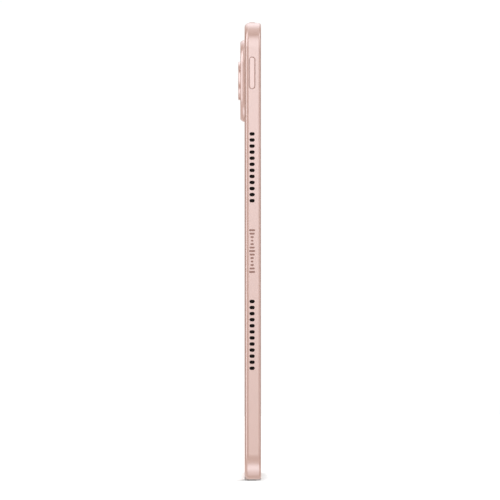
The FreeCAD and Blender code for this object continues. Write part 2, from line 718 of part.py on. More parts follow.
def housing_back_openings(body):
    """Openings in the back wall for the rear camera and the flash."""
    sketch = new_sketch(body, FRONT, INNER_BACK, (CAMERA_X, CAMERA_Z))
    draw_rectangle(sketch, d.camera_opening, d.camera_opening, d.board_corner)
    pocket(body, sketch, d.back_wall, FRONT)
    sketch = new_sketch(body, FRONT, INNER_BACK)
    draw_circles(sketch, d.flash_opening, [(FLASH_X, FLASH_Z)])
    pocket(body, sketch, d.back_wall, FRONT)


def make_rear_housing():
    body = new_body("rear_housing")
    housing_shell(body)
    housing_bosses(body)
    housing_grilles(body)
    housing_edge_openings(body)
    housing_back_openings(body)


# ---- display -----------------------------------------------------------------------------------------


def make_display_frame():
    """Black plastic ring that the glass is glued to, with its lip round the glass."""
    body = new_body("display_frame")
    front = FACE + d.frame_set_back
    ledge = FACE + d.lip_depth - d.frame_gap
    pad(body, inset_outline(body, front, d.lip_width + d.frame_gap), ledge - front, FRONT)
    pad(body, inset_outline(body, ledge, d.side_wall + d.frame_gap), FACE + d.frame_back - ledge, FRONT)
    glass_recess = inset_outline(body, front, d.lip_width + d.frame_gap + d.frame_lip)
    pocket(body, glass_recess, GLASS_BACK + d.glue_line - front, FRONT)
    sketch = new_sketch(body, FRONT, front, (0, PANEL_Z))
    clearance = d.panel_clearance * 2
    draw_rectangle(sketch, PANEL_WIDTH + clearance, PANEL_HEIGHT + clearance, d.board_corner)
    pocket(body, sketch, d.frame_back, FRONT)
    left = -d.selfie_size / 2 - d.panel_clearance
    right = d.sensor_x + d.sensor_width / 2 + d.panel_clearance
    sketch = new_sketch(body, FRONT, front, ((left + right) / 2, d.selfie_z))
    draw_rectangle(sketch, right - left, d.selfie_size + clearance, d.small_corner)
    pocket(body, sketch, d.frame_back, FRONT)


def make_cover_glass():
    body = new_body("cover_glass")
    inset = d.lip_width + d.frame_gap + d.frame_lip + d.glass_gap
    pad(body, inset_outline(body, FACE, inset), d.glass_thickness, FRONT)
    fillet(body, d.glass_edge_radius, lies_at(1, FACE))


def make_panel():
    size = (PANEL_WIDTH, PANEL_HEIGHT)
    plate("lcd_panel", (0, PANEL_Z), size, d.panel_border, GLASS_BACK, d.panel_thickness)


def make_backlight():
    """The sheets behind the panel, in their sheet-metal tray, with the LEDs along the lower edge."""
    inset = d.tray_sheet_inset * 2
    width, height = PANEL_WIDTH - inset, PANEL_HEIGHT - inset
    raised = PANEL_Z + d.led_strip_height / 2
    short = height - d.led_strip_height
    sheets = [
        ("diffuser_sheets", PANEL_Z, height, DIFFUSER_FRONT, d.diffuser_thickness),
        ("light_guide", raised, short, GUIDE_FRONT, d.guide_thickness),
        ("reflector_sheet", raised, short, REFLECTOR_FRONT, d.reflector_thickness),
    ]
    for label, middle, tall, front, thickness in sheets:
        plate(label, (0, middle), (width, tall), d.board_corner, front, thickness)
    tray = new_body("backlight_tray")
    sketch = new_sketch(tray, FRONT, PANEL_BACK, (0, PANEL_Z))
    draw_rectangle(sketch, PANEL_WIDTH, PANEL_HEIGHT, d.panel_border)
    pad(tray, sketch, TRAY_BACK - PANEL_BACK, FRONT)
    sketch = new_sketch(tray, FRONT, PANEL_BACK, (0, PANEL_Z))
    metal = d.tray_metal * 2
    draw_rectangle(sketch, PANEL_WIDTH - metal, PANEL_HEIGHT - metal, d.panel_border - d.tray_metal)
    pocket(tray, sketch, TRAY_FLOOR - PANEL_BACK, FRONT)


def make_backlight_leds():
    low = PANEL_BOTTOM + d.tray_sheet_inset
    high = low + d.led_strip_height - d.panel_clearance
    reach = d.led_pitch * d.led_count / 2
    strip = span("led_strip", (-reach, reach), (REFLECTOR_FRONT, TRAY_FLOOR - d.sheet_gap), (low, high))
    lamps = [strip]
    for number in range(int(d.led_count.value)):
        x = d.led_pitch * (number + 0.5) - reach
        lamp_z = (low, low + d.led_height)
        lamp_x = (x - d.led_width / 2, x + d.led_width / 2)
        lamps.append(span(f"led_{number}", lamp_x, (GUIDE_FRONT, GUIDE_FRONT + d.guide_thickness), lamp_z))
    keep(group("backlight_leds", lamps), "backlight_leds")


def make_display_flex():
    """The flex that leaves the panel's lower edge and runs up behind the tray to the main board."""
    x = (d.display_flex_x - d.display_flex_width / 2, d.display_flex_x + d.display_flex_width / 2)
    back = TRAY_BACK + d.glue_line / 2 + d.flex_thickness
    foot_z = (PANEL_BOTTOM - d.glue_line / 2 - d.flex_thickness, PANEL_BOTTOM - d.glue_line / 2)
    foot = span("display_flex_foot", x, (GLASS_BACK, back), foot_z)
    run_z = (foot_z[0], PLUG_Z + d.connector_width / 2)
    run = span("display_flex_run", x, (back - d.flex_thickness, back), run_z)
    plug_front = d.board_front - d.connector_height
    head_middle = (d.display_flex_x, (back + plug_front) / 2, PLUG_Z)
    head = box("display_flex_head", head_middle, (d.connector_length, plug_front - back, d.connector_width))
    keep(fuse("display_flex", [foot, run, head]), "display_flex")


def make_graphite_sheet():
    front = TRAY_BACK + d.glue_line + d.flex_thickness
    size = (d.graphite_width, d.graphite_height)
    centre = (0, d.cell_bottom + d.cell_height / 2)
    plate("graphite_sheet", centre, size, d.cell_corner, front, d.graphite_thickness)


# ---- rear camera ---------------------------------------------------------------------------------


def make_camera_island():
    body = new_body("camera_island")
    sketch = new_sketch(body, FRONT, BACK, (CAMERA_X, CAMERA_Z))
    draw_rectangle(sketch, d.island_size, d.island_size, d.island_corner)
    pad(body, sketch, d.island_height, FRONT)
    fillet(body, d.island_edge_radius, lies_at(1, ISLAND_TOP))
    sketch = new_sketch(body, FRONT, BACK)
    draw_circles(sketch, d.island_bore, [(CAMERA_X, CAMERA_Z)])
    pocket(body, sketch, d.island_height, FRONT)
    sketch = new_sketch(body, FRONT, BACK)
    draw_circles(sketch, d.flash_radius + d.close_gap, [(FLASH_X, FLASH_Z)])
    pocket(body, sketch, d.island_height, FRONT)


def camera_circle(body, level, radius):
    sketch = new_sketch(body, FRONT, level, (CAMERA_X, CAMERA_Z))
    draw_circles(sketch, radius)
    return sketch


def make_camera_ring():
    """Turned ring on the island, with a spigot in the island's bore and a ledge for the window."""
    body = new_body("camera_ring")
    pad(body, camera_circle(body, ISLAND_TOP, d.ring_radius), d.ring_height, FRONT)
    fillet(body, d.ring_edge_radius, lies_at(1, RING_TOP))
    spigot = camera_circle(body, ISLAND_TOP, d.ring_spigot)
    pad(body, spigot, d.ring_spigot_length, FRONT, towards=-1)
    seat = RING_TOP - d.window_set_back - d.window_thickness
    bore = camera_circle(body, ISLAND_TOP - d.ring_spigot_length, d.ring_bore)
    pocket(body, bore, d.ring_spigot_length + d.ring_height, FRONT)
    pocket(body, camera_circle(body, seat, d.window_radius + d.glass_gap), RING_TOP - seat, FRONT)


def make_camera_window():
    seat = RING_TOP - d.window_set_back - d.window_thickness
    start = (CAMERA_X, seat, CAMERA_Z)
    keep(rod("camera_window", "Y", start, d.window_radius, d.window_thickness), "camera_window")


def make_rear_camera():
    """Square autofocus housing with a round neck, its lens barrel, its circuit board and its flex."""
    back = INNER_BACK + d.back_wall - d.close_gap
    housing_front = d.camera_front + d.camera_board
    body = plate(
        "rear_camera_housing",
        (CAMERA_X, CAMERA_Z),
        (d.camera_size, d.camera_size),
        d.camera_corner,
        housing_front,
        back - housing_front,
    )
    pad(body, camera_circle(body, back, d.turret_radius), d.turret_back - back, FRONT)
    bore = camera_circle(body, d.barrel_front - d.close_gap, d.barrel_radius + d.barrel_clearance)
    pocket(body, bore, d.turret_back - d.barrel_front + d.close_gap, FRONT)
    barrel = new_body("rear_camera_lens")
    outside = camera_circle(barrel, d.barrel_front, d.barrel_radius)
    pad(barrel, outside, d.barrel_back - d.barrel_front, FRONT)
    pupil = camera_circle(barrel, d.barrel_back, d.barrel_pupil)
    pocket(barrel, pupil, d.barrel_dish, FRONT, towards=-1)
    size = (d.camera_size, d.camera_board, d.camera_size)
    board = box("rear_camera_board", (CAMERA_X, d.camera_front + d.camera_board / 2, CAMERA_Z), size)
    keep(board, "rear_camera_board")
    make_camera_flex()


def make_camera_flex():
    """A stepped flex from the camera's board to its connector on the main board."""
    z = (CAMERA_Z - d.connector_length / 2, CAMERA_Z + d.connector_length / 2)
    start = CAMERA_X + d.camera_size / 2
    step = start + d.camera_flex_run
    low, thick = d.camera_front, d.flex_thickness
    high = d.board_front - d.connector_height - thick
    end = d.board_left + d.board_screw_inset * 2 + d.connector_width
    first = span("camera_flex_start", (start, step), (low, low + thick), z)
    riser = span("camera_flex_step", (step - thick, step), (low, high + thick), z)
    last = span("camera_flex_end", (step - thick, end), (high, high + thick), z)
    keep(fuse("rear_camera_flex", [first, riser, last]), "rear_camera_flex")


def make_flash():
    start = (FLASH_X, ISLAND_TOP - d.flash_lens_thickness, FLASH_Z)
    keep(rod("flash_lens", "Y", start, d.flash_radius, d.flash_lens_thickness), "flash_lens")
    middle = (FLASH_X, BACK - d.flash_led_thickness / 2, FLASH_Z)
    size = (d.flash_led_size, d.flash_led_thickness, d.flash_led_size)
    keep(box("flash_led", middle, size), "flash_led")


# ---- front camera, light sensor and microphones ---------------------------------------------------


def make_front_camera():
    front = GLASS_BACK + d.under_glass_gap
    size = (d.selfie_size, d.selfie_size)
    body = plate("front_camera_housing", (0, d.selfie_z), size, d.small_corner, front, d.selfie_length)
    sketch = new_sketch(body, FRONT, front, (0, d.selfie_z))
    draw_circles(sketch, d.selfie_lens_radius + d.glass_gap)
    pocket(body, sketch, d.selfie_lens_length + d.glass_gap, FRONT)
    lens = rod("front_camera_lens", "Y", (0, front, d.selfie_z), d.selfie_lens_radius, d.selfie_lens_length)
    keep(lens, "front_camera_lens")


def make_light_sensor():
    front = GLASS_BACK + d.under_glass_gap
    middle = (d.sensor_x, front + d.sensor_thickness / 2, d.selfie_z)
    keep(box("light_sensor", middle, (d.sensor_width, d.sensor_thickness, d.sensor_height)), "light_sensor")


def make_microphones():
    size = (d.microphone_width, d.microphone_height, d.microphone_depth)
    z = INNER_TOP - d.microphone_depth / 2
    pair = [box(f"microphone_{n}", (d.microphone_x * n, d.edge_line, z), size) for n in (-1, 1)]
    keep(group("microphones", pair), "microphones")


# ---- buttons -----------------------------------------------------------------------------------------


def button(label, plane, level, centre, size, towards):
    """A button: stadium cap through the wall, its collar behind the wall. Towards points inwards."""
    body = new_body(label)
    width, height = size
    cap_depth = d.button_proud + COLLAR_DEPTH
    outer = level - d.button_proud * towards
    sketch = new_sketch(body, plane, outer, centre)
    draw_stadium(sketch, width, height)
    pad(body, sketch, cap_depth, plane, towards)
    fillet(body, d.button_crown, lies_at(0 if plane == SIDE else 2, outer))
    sketch = new_sketch(body, plane, level + (COLLAR_DEPTH - d.flange_thickness) * towards, centre)
    overhang = d.flange_overhang * 2
    draw_stadium(sketch, width + overhang, height + overhang)
    pad(body, sketch, d.flange_thickness, plane, towards)
    return body


def make_power_button():
    centre = (d.edge_line, d.power_z)
    body = button("power_button", SIDE, -END_X, centre, (d.button_width, d.power_length), 1)
    sketch = new_sketch(body, SIDE, COLLAR_DEPTH - END_X, centre)
    draw_circles(sketch, d.nub_radius)
    pad(body, sketch, d.nub_length, SIDE)


def make_power_switch():
    front = SWITCH_DEPTH - END_X
    middle = (front + d.switch_depth / 2, d.edge_line, d.power_z)
    body = box("power_switch_body", middle, (d.switch_depth, d.switch_width, d.switch_length))
    mouth = (front, d.edge_line, d.power_z)
    well = rod("power_switch_well", "X", mouth, d.switch_well_radius, d.switch_well_depth)
    keep(cut("power_switch", body, well), "power_switch")
    start = front + d.switch_depth + d.flex_thickness
    middle = (start + d.bracket_thickness / 2, d.edge_line, d.power_z)
    size = (d.bracket_thickness, d.button_width + d.flange_overhang * 2, d.power_length + d.ear_size)
    keep(box("power_bracket", middle, size), "power_bracket")


def make_volume_rocker():
    """One rocker for louder and quieter: it tilts on a pin and works a switch at each end."""
    centre = (d.rocker_x, d.edge_line)
    body = button("volume_rocker", TOP, TOP_Z, centre, (d.rocker_length, d.button_width), -1)
    collar = TOP_Z - COLLAR_DEPTH
    sketch = new_sketch(body, TOP, collar, centre)
    draw_circles(sketch, d.nub_radius, [(-d.rocker_switch_offset, 0), (d.rocker_switch_offset, 0)])
    pad(body, sketch, d.nub_length, TOP, towards=-1)
    sketch = new_sketch(body, FRONT, d.edge_line - d.button_width / 2, (d.rocker_x, TOP_Z - d.pivot_depth))
    draw_circles(sketch, d.pivot_radius)
    pad(body, sketch, d.button_width, FRONT)
    web = d.pivot_depth - COLLAR_DEPTH
    sketch = new_sketch(body, TOP, collar - web, centre)
    draw_rectangle(sketch, d.pivot_web, d.button_width, d.small_corner)
    pad(body, sketch, web, TOP)


def make_volume_switches():
    level = TOP_Z - SWITCH_DEPTH
    switches = []
    for side in (-1, 1):
        x = d.rocker_x + d.rocker_switch_offset * side
        size = (d.switch_length, d.switch_width, d.switch_depth)
        body = box(f"volume_switch_body_{side}", (x, d.edge_line, level - d.switch_depth / 2), size)
        floor = (x, d.edge_line, level - d.switch_well_depth)
        well = rod(f"volume_switch_well_{side}", "Z", floor, d.switch_well_radius, d.switch_well_depth)
        switches.append(cut(f"volume_switch_{side}", body, well))
    keep(group("volume_switches", switches), "volume_switches")


def make_volume_bracket():
    """Steel strip under both switches, with a half-round saddle for the rocker's pin."""
    top = TOP_Z - SWITCH_DEPTH - d.switch_depth - d.flex_thickness
    width = d.button_width + d.flange_overhang * 2
    middle = (d.rocker_x, d.edge_line, top - d.bracket_thickness / 2)
    strip = box("volume_strip", middle, (d.rocker_length + d.ear_size, width, d.bracket_thickness))
    pivot_z = TOP_Z - d.pivot_depth
    saddle_x = (d.rocker_x - d.saddle_width / 2, d.rocker_x + d.saddle_width / 2)
    saddle_y = (d.edge_line - d.saddle_depth / 2, d.edge_line + d.saddle_depth / 2)
    saddle = span("volume_saddle", saddle_x, saddle_y, (top - d.bracket_thickness, pivot_z))
    groove_start = (d.rocker_x, d.edge_line - width / 2, pivot_z)
    groove = rod("volume_groove", "Y", groove_start, d.pivot_radius + d.pivot_clearance, width)
    keep(cut("volume_bracket", fuse("volume_bracket_blank", [strip, saddle]), groove), "volume_bracket")


def make_button_flex():
    """The flex behind the switches: along the top edge, round the corner and down to the power switch."""
    thick = d.flex_thickness
    half_width = d.switch_width / 2
    y = (d.edge_line - half_width, d.edge_line + half_width)
    top = TOP_Z - SWITCH_DEPTH - d.switch_depth
    left = SWITCH_DEPTH + d.switch_depth - END_X
    bend_x, bend_z = left + d.flex_bend, top - d.flex_bend
    strip_end = d.rocker_x + d.rocker_switch_offset + d.switch_length / 2
    strip = span("volume_flex", (bend_x, strip_end), y, (top - thick, top))
    window_size = (d.saddle_width + d.close_gap * 2, d.saddle_depth + d.close_gap * 2, thick)
    window = box("volume_flex_window", (d.rocker_x, d.edge_line, top - thick / 2), window_size)
    drop = span("power_flex", (left, left + thick), y, (d.power_z - d.power_length / 2, bend_z))
    outer = quarter_round("flex_bend_outside", (bend_x, y[0], bend_z), d.flex_bend, d.switch_width)
    inner = quarter_round("flex_bend_inside", (bend_x, y[0], bend_z), d.flex_bend - thick, d.switch_width)
    bend = cut("flex_bend", outer, inner)
    keep(fuse("button_flex", [cut("volume_flex_open", strip, window), bend, drop]), "button_flex")


# ---- speakers ----------------------------------------------------------------------------------------


def make_speaker(name, right, upper):
    """Closed plastic box with a sound duct towards the edge, a membrane recess and two screw ears."""
    x, z = speaker_middle(right, upper)
    size = (d.speaker_depth, d.speaker_height)
    thickness = d.speaker_back - d.speaker_front
    body = plate(f"speaker_{name}", (x, z), size, d.board_corner, d.speaker_front, thickness)
    outer = INNER_X - d.mesh_thickness if right else d.mesh_thickness - INNER_X
    ear = d.ear_size
    for ear_x, ear_z in speaker_ear_points(right, upper):
        sketch = new_sketch(body, FRONT, SPEAKER_EAR_BACK - d.ear_thickness, (ear_x, ear_z))
        draw_rectangle(sketch, ear, ear + d.ear_overlap, d.board_corner)
        pad(body, sketch, d.ear_thickness, FRONT)
    sketch = new_sketch(body, FRONT, SPEAKER_EAR_BACK - d.ear_thickness)
    draw_circles(sketch, d.screw_radius + d.screw_clearance, speaker_ear_points(right, upper))
    pocket(body, sketch, d.ear_thickness, FRONT)
    sketch = new_sketch(body, SIDE, outer, (d.edge_line, z))
    draw_stadium(sketch, d.hole_width, d.hole_pitch * d.hole_count)
    pocket(body, sketch, d.nozzle_depth, SIDE, towards=-1 if right else 1)
    membrane_x = x - d.nozzle_depth / 2 if right else x + d.nozzle_depth / 2
    sketch = new_sketch(body, FRONT, d.speaker_front, (membrane_x, z))
    draw_stadium(sketch, d.speaker_depth - d.nozzle_depth * 2, d.speaker_height - d.nozzle_depth * 2)
    pocket(body, sketch, d.membrane_depth, FRONT)


def make_speaker_mesh(name, right, upper):
    z = speaker_middle(right, upper)[1]
    body = new_body(f"speaker_mesh_{name}")
    sketch = new_sketch(body, SIDE, INNER_X if right else -INNER_X, (d.edge_line, z))
    draw_stadium(sketch, d.mesh_width, d.mesh_height)
    pad(body, sketch, d.mesh_thickness, SIDE, towards=-1 if right else 1)


# ---- battery -----------------------------------------------------------------------------------------


def make_battery():
    middle_z = d.cell_bottom + d.cell_height / 2
    for name, side in (("left", -1), ("right", 1)):
        body = plate(
            f"battery_cell_{name}",
            (d.cell_offset * side, middle_z),
            (d.cell_width, d.cell_height),
            d.cell_corner,
            d.cell_front,
            d.cell_back - d.cell_front,
        )
        fillet(body, d.cell_edge_radius, lies_at(1, d.cell_front))
    top = d.cell_bottom + d.cell_height + d.panel_clearance
    board_z = top + d.battery_board_height / 2
    size = (d.battery_board_length, d.battery_board_thickness, d.battery_board_height)
    keep(box("battery_board", (0, d.board_front - d.board_thickness, board_z), size), "battery_board")
    tapes = []
    tape_size = (d.tape_width, d.tape_thickness, d.tape_height)
    for side in (-1, 1):
        for place in (-1, 1):
            x = d.cell_offset * side + d.tape_offset * place
            centre = (x, d.cell_back + d.tape_thickness / 2, middle_z)
            tapes.append(box(f"tape_{side}_{place}", centre, tape_size))
    keep(group("battery_tapes", tapes), "battery_tapes")


# ---- main board --------------------------------------------------------------------------------------


def make_main_board():
    centre = ((d.board_left + d.board_right) / 2, (d.board_bottom + d.board_top) / 2)
    size = (d.board_right - d.board_left, d.board_top - d.board_bottom)
    body = plate("main_board", centre, size, d.board_corner, d.board_front, d.board_thickness)
    sketch = new_sketch(body, FRONT, d.board_front)
    draw_circles(sketch, d.screw_radius + d.screw_clearance, board_screw_points())
    pocket(body, sketch, d.board_thickness, FRONT)


def make_board_chips():
    processor_x = d.shield_x - d.processor_size / 2 - d.board_corner
    memory_x = d.shield_x + d.memory_size / 2 + d.board_corner
    power_chip_x = memory_x + d.memory_size
    spots = [
        ("processor", processor_x, d.processor_size),
        ("memory", memory_x, d.memory_size),
        ("power_chip", power_chip_x, d.power_chip_size),
        ("radio_chip", d.radio_shield_x, d.radio_chip_size),
    ]
    chips = []
    for name, x, size in spots:
        centre = (x, d.board_front - d.chip_thickness / 2, d.shield_z)
        chips.append(box(name, centre, (size, d.chip_thickness, size)))
    keep(group("board_chips", chips), "board_chips")


def make_board_shields():
    """Two sheet-metal cans, open towards the board."""
    cans = []
    sizes = [("main", d.shield_x, d.shield_width), ("radio", d.radio_shield_x, d.radio_shield_width)]
    for name, x, width in sizes:
        middle = d.board_front - d.shield_height / 2
        outer = box(f"{name}_can_outside", (x, middle, d.shield_z), (width, d.shield_height, d.shield_tall))
        metal = d.shield_metal * 2
        room = (width - metal, d.shield_height - d.shield_metal, d.shield_tall - metal)
        inner = box(f"{name}_can_inside", (x, middle + d.shield_metal / 2, d.shield_z), room)
        cans.append(cut(f"{name}_can", outer, inner))
    keep(group("board_shields", cans), "board_shields")


def make_board_connectors():
    """Plugs on the main board for the battery, the display, the camera and the port's board."""
    lying = (d.connector_length, d.connector_height, d.connector_width)
    standing = (d.connector_width, d.connector_height, d.connector_length)
    y = d.board_front - d.connector_height / 2
    camera_plug = d.board_left + d.board_screw_inset * 2 + d.connector_width / 2
    plugs = [
        box("display_plug", (d.display_flex_x, y, PLUG_Z), lying),
        box("battery_plug", (d.shield_x, y, PLUG_Z), lying),
        box("camera_plug", (camera_plug, y, CAMERA_Z), standing),
        box("link_plug", (d.tray_x - d.connector_length, y, PLUG_Z), lying),
    ]
    keep(group("board_connectors", plugs), "board_connectors")


# ---- memory card tray --------------------------------------------------------------------------------


def make_card_tray():
    """Tray for the memory card: a cap flush with the edge, an eject hole and a pocket for the card."""
    body = new_body("card_tray")
    sketch = new_sketch(body, TOP, TOP_Z, (d.tray_x, d.edge_line))
    draw_stadium(sketch, d.tray_cap_length, d.tray_cap_width)
    pad(body, sketch, d.tray_cap_depth, TOP, towards=-1)
    front = d.edge_line - d.tray_body_thickness / 2
    cap_bottom = TOP_Z - d.tray_cap_depth
    sketch = new_sketch(body, FRONT, front, (CARD_X, cap_bottom + (d.tray_joint - d.tray_body_length) / 2))
    draw_rectangle(sketch, d.tray_body_width, d.tray_body_length + d.tray_joint, d.board_corner)
    pad(body, sketch, d.tray_body_thickness, FRONT)
    card_z = cap_bottom - d.card_length / 2 - d.card_margin
    sketch = new_sketch(body, FRONT, front, (CARD_X, card_z))
    draw_rectangle(sketch, d.card_width, d.card_length, d.small_corner)
    pocket(body, sketch, d.card_depth, FRONT)
    sketch = new_sketch(body, TOP, TOP_Z, (EJECT_X, d.edge_line))
    draw_circles(sketch, d.eject_hole_radius)
    pocket(body, sketch, d.tray_cap_depth, TOP, towards=-1)


def make_card_socket():
    """Sheet-metal sleeve for the tray and the eject rod, open at the top."""
    gap = d.socket_clearance
    left = CARD_X - d.tray_body_width / 2 - gap
    right = EJECT_X + d.eject_rod_width / 2 + gap
    reach = d.tray_body_thickness / 2 + gap
    y = (d.edge_line - reach, d.edge_line + reach)
    top = TOP_Z - d.side_wall - d.tray_cap_depth
    floor = CARD_END - d.socket_depth
    metal = d.socket_wall
    walls = ((left - metal, right + metal), (y[0] - metal, y[1] + metal), (floor - metal, top))
    outer = span("card_socket_outside", *walls)
    inner = span("card_socket_inside", (left, right), y, (floor, top))
    keep(cut("card_socket", outer, inner), "card_socket")


def make_eject_rod():
    top = TOP_Z - d.tray_cap_depth - d.eject_rod_gap
    middle = (EJECT_X, d.edge_line, top - d.eject_rod_length / 2)
    size = (d.eject_rod_width, d.eject_rod_thickness, d.eject_rod_length)
    keep(box("eject_rod", middle, size), "eject_rod")


# ---- USB-C port --------------------------------------------------------------------------------------


def make_usb_shell():
    body = new_body("usb_shell")
    centre = (d.edge_line, MID_Z)
    wall = d.usb_shell_wall * 2
    sketch = new_sketch(body, SIDE, USB_FACE, centre)
    draw_stadium(sketch, d.usb_opening_width + wall, d.usb_opening_height + wall)
    pad(body, sketch, d.usb_shell_depth, SIDE, towards=-1)
    sketch = new_sketch(body, SIDE, USB_FACE, centre)
    draw_stadium(sketch, d.usb_opening_width, d.usb_opening_height)
    pocket(body, sketch, d.usb_shell_depth, SIDE, towards=-1)


def make_usb_tongue():
    """Black insulator: a base that closes the shell and the tongue that carries the contacts."""
    body = new_body("usb_tongue")
    centre = (d.edge_line, MID_Z)
    inner = USB_FACE - d.usb_shell_depth
    sketch = new_sketch(body, SIDE, inner, centre)
    draw_stadium(sketch, d.usb_opening_width - d.glass_gap, d.usb_opening_height - d.glass_gap)
    pad(body, sketch, d.usb_base_depth, SIDE)
    sketch = new_sketch(body, SIDE, inner + d.usb_base_depth, centre)
    draw_rectangle(sketch, d.usb_tongue_width, d.usb_tongue_height, d.small_corner)
    pad(body, sketch, d.usb_tongue_length, SIDE)


def make_usb_contacts():
    start = USB_FACE - d.usb_shell_depth + d.usb_base_depth
    x = start + d.usb_contact_length / 2
    offset = (d.usb_tongue_width + d.usb_contact_thickness) / 2
    size = (d.usb_contact_length, d.usb_contact_thickness, d.usb_contact_width)
    strips = []
    for face in (-1, 1):
        for number in range(int(d.usb_contact_count.value)):
            z = MID_Z + d.usb_contact_pitch * (number + 0.5) - d.usb_contact_pitch * d.usb_contact_count / 2
            centre = (x, d.edge_line + offset * face, z)
            strips.append(box(f"usb_contact_{face}_{number}", centre, size))
    keep(group("usb_contacts", strips), "usb_contacts")


def make_usb_board():
    """Small board round the port, with a notch for the port's shell."""
    centre = ((d.usb_board_inner + d.usb_board_outer) / 2, MID_Z)
    size = (d.usb_board_outer - d.usb_board_inner, d.usb_board_height)
    body = plate("usb_board", centre, size, d.board_corner, d.usb_board_front, d.board_thickness)
    notch_height = d.usb_opening_height + (d.usb_shell_wall + d.usb_notch_clearance) * 2
    notch_end = USB_FACE - d.usb_shell_depth - d.usb_notch_clearance
    notch_length = (END_X - notch_end) * 2
    sketch = new_sketch(body, FRONT, d.usb_board_front, (END_X, MID_Z))
    draw_rectangle(sketch, notch_length, notch_height, d.small_corner)
    pocket(body, sketch, d.board_thickness, FRONT)
    sketch = new_sketch(body, FRONT, d.usb_board_front)
    draw_circles(sketch, d.screw_radius + d.screw_clearance, usb_screw_points())
    pocket(body, sketch, d.board_thickness, FRONT)


def make_link_flex():
    """Flex between the two boards: across from the port's board, up, then across to the main board."""
    y = (d.usb_board_front + d.board_thickness, d.usb_board_front + d.board_thickness + d.link_thickness)
    inner, outer = d.link_inner, d.link_inner + d.link_width
    low = MID_Z - d.link_width / 2
    high = d.board_bottom + d.board_screw_inset * 2
    parts = [
        span("link_low", (inner, d.usb_board_inner + d.link_overlap / 2), y, (low, low + d.link_width)),
        span("link_up", (inner, outer), y, (low, high + d.link_width)),
        span("link_high", (d.board_right - d.link_overlap, outer), y, (high, high + d.link_width)),
    ]
    keep(fuse("link_flex", parts), "link_flex")


# ---- antennas and keyboard contacts ----------------------------------------------------------------


def make_wifi_antennas():
    y = FACE + d.frame_back + d.frame_gap + d.antenna_thickness / 2
    size = (d.antenna_width, d.antenna_thickness, d.antenna_height)
    places = [("left", d.antenna_left), ("right", d.antenna_right)]
    pair = [box(f"antenna_{name}", (x, y, d.antenna_z), size) for name, x in places]
    keep(group("wifi_antennas", pair), "wifi_antennas")


def make_keyboard_contacts():
    """Black insert in the lower edge with three gold contacts."""
    body = new_body("contact_block")
    sketch = new_sketch(body, TOP, d.contact_set_back)
    gap = d.frame_gap * 2
    draw_stadium(sketch, d.contact_block_length - gap, d.contact_block_width - gap)
    pad(body, sketch, d.contact_block_height, TOP)
    spots = [(d.contact_pitch * n, 0) for n in (-1, 0, 1)]
    sketch = new_sketch(body, TOP, d.contact_set_back)
    draw_circles(sketch, d.contact_radius, spots)
    pocket(body, sketch, d.contact_block_height, TOP)
    pins = []
    for number, (x, _) in enumerate(spots):
        start = (x, 0, d.contact_set_back)
        pins.append(rod(f"keyboard_pin_{number}", "Z", start, d.contact_radius, d.contact_length))
    keep(group("keyboard_contacts", pins), "keyboard_contacts")


# ---- screws ------------------------------------------------------------------------------------------


def screw(name, x, z, held_front, held_thickness):
    """A pan-head screw driven backwards through what it holds."""
    head_start = (x, held_front - d.screw_head_height, z)
    head = rod(f"{name}_head", "Y", head_start, d.screw_head_radius, d.screw_head_height)
    thread = rod(f"{name}_thread", "Y", (x, held_front, z), d.screw_radius, held_thickness + d.screw_bite)
    return fuse(name, [head, thread])


def make_screws():
    board = [screw(f"board_screw_{n}", x, z, d.board_front, d.board_thickness)
             for n, (x, z) in enumerate(board_screw_points())]
    board += [screw(f"usb_screw_{n}", x, z, d.usb_board_front, d.board_thickness)
              for n, (x, z) in enumerate(usb_screw_points())]
    keep(group("board_screws", board), "board_screws")
    ears = [point for _, right, upper in SPEAKERS for point in speaker_ear_points(right, upper)]
    front = SPEAKER_EAR_BACK - d.ear_thickness
    speaker = [screw(f"speaker_screw_{n}", x, z, front, d.ear_thickness) for n, (x, z) in enumerate(ears)]
    keep(group("speaker_screws", speaker), "speaker_screws")


def check_document():
    """Stops if any object failed to build or any sub-part isn't one or more valid closed solids."""
    doc.recompute()
    failed = [item.Label for item in doc.Objects if {"Invalid", "Error"} & set(item.State)]
    if failed:
        raise RuntimeError(f"these objects failed: {failed}")
    for piece in pieces:
        shape = piece.Shape
        if shape.isNull() or not shape.isValid() or not shape.Solids:
            raise RuntimeError(f"{piece.Label} is not a valid solid")


def write_parts():
    os.makedirs(OUT_FOLDER, exist_ok=True)
    for piece in pieces:
        piece.Shape.exportStep(os.path.join(OUT_FOLDER, f"{piece.Label}.step"))
        box_of = piece.Shape.BoundBox
        size = f"{box_of.XLength:.2f} x {box_of.YLength:.2f} x {box_of.ZLength:.2f}"
        print(f"{piece.Label}: {len(piece.Shape.Solids)} solid(s), {size} mm")


def main():
    make_rear_housing()
    make_display_frame()
    make_cover_glass()
    make_panel()
    make_backlight()
    make_backlight_leds()
    make_display_flex()
    make_graphite_sheet()
    make_camera_island()
    make_camera_ring()
    make_camera_window()
    make_rear_camera()
    make_flash()
    make_front_camera()
    make_light_sensor()
    make_microphones()
    make_power_button()
    make_power_switch()
    make_volume_rocker()
    make_volume_switches()
    make_volume_bracket()
    make_button_flex()
    for name, right, upper in SPEAKERS:
        make_speaker(name, right, upper)
        make_speaker_mesh(name, right, upper)
    make_battery()
    make_main_board()
    make_board_chips()
    make_board_shields()
    make_board_connectors()
    make_card_tray()
    make_card_socket()
    make_eject_rod()
    make_usb_shell()
    make_usb_tongue()
    make_usb_contacts()
    make_usb_board()
    make_link_flex()
    make_wifi_antennas()
    make_keyboard_contacts()
    make_screws()
    check_document()
    write_parts()


main()
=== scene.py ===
"""The looks of a 12-inch tablet computer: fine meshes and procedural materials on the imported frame.

The frame is the CAD model's own: +X along the long side, -Y the way the screen faces, +Z up, in metres.
"""

import math

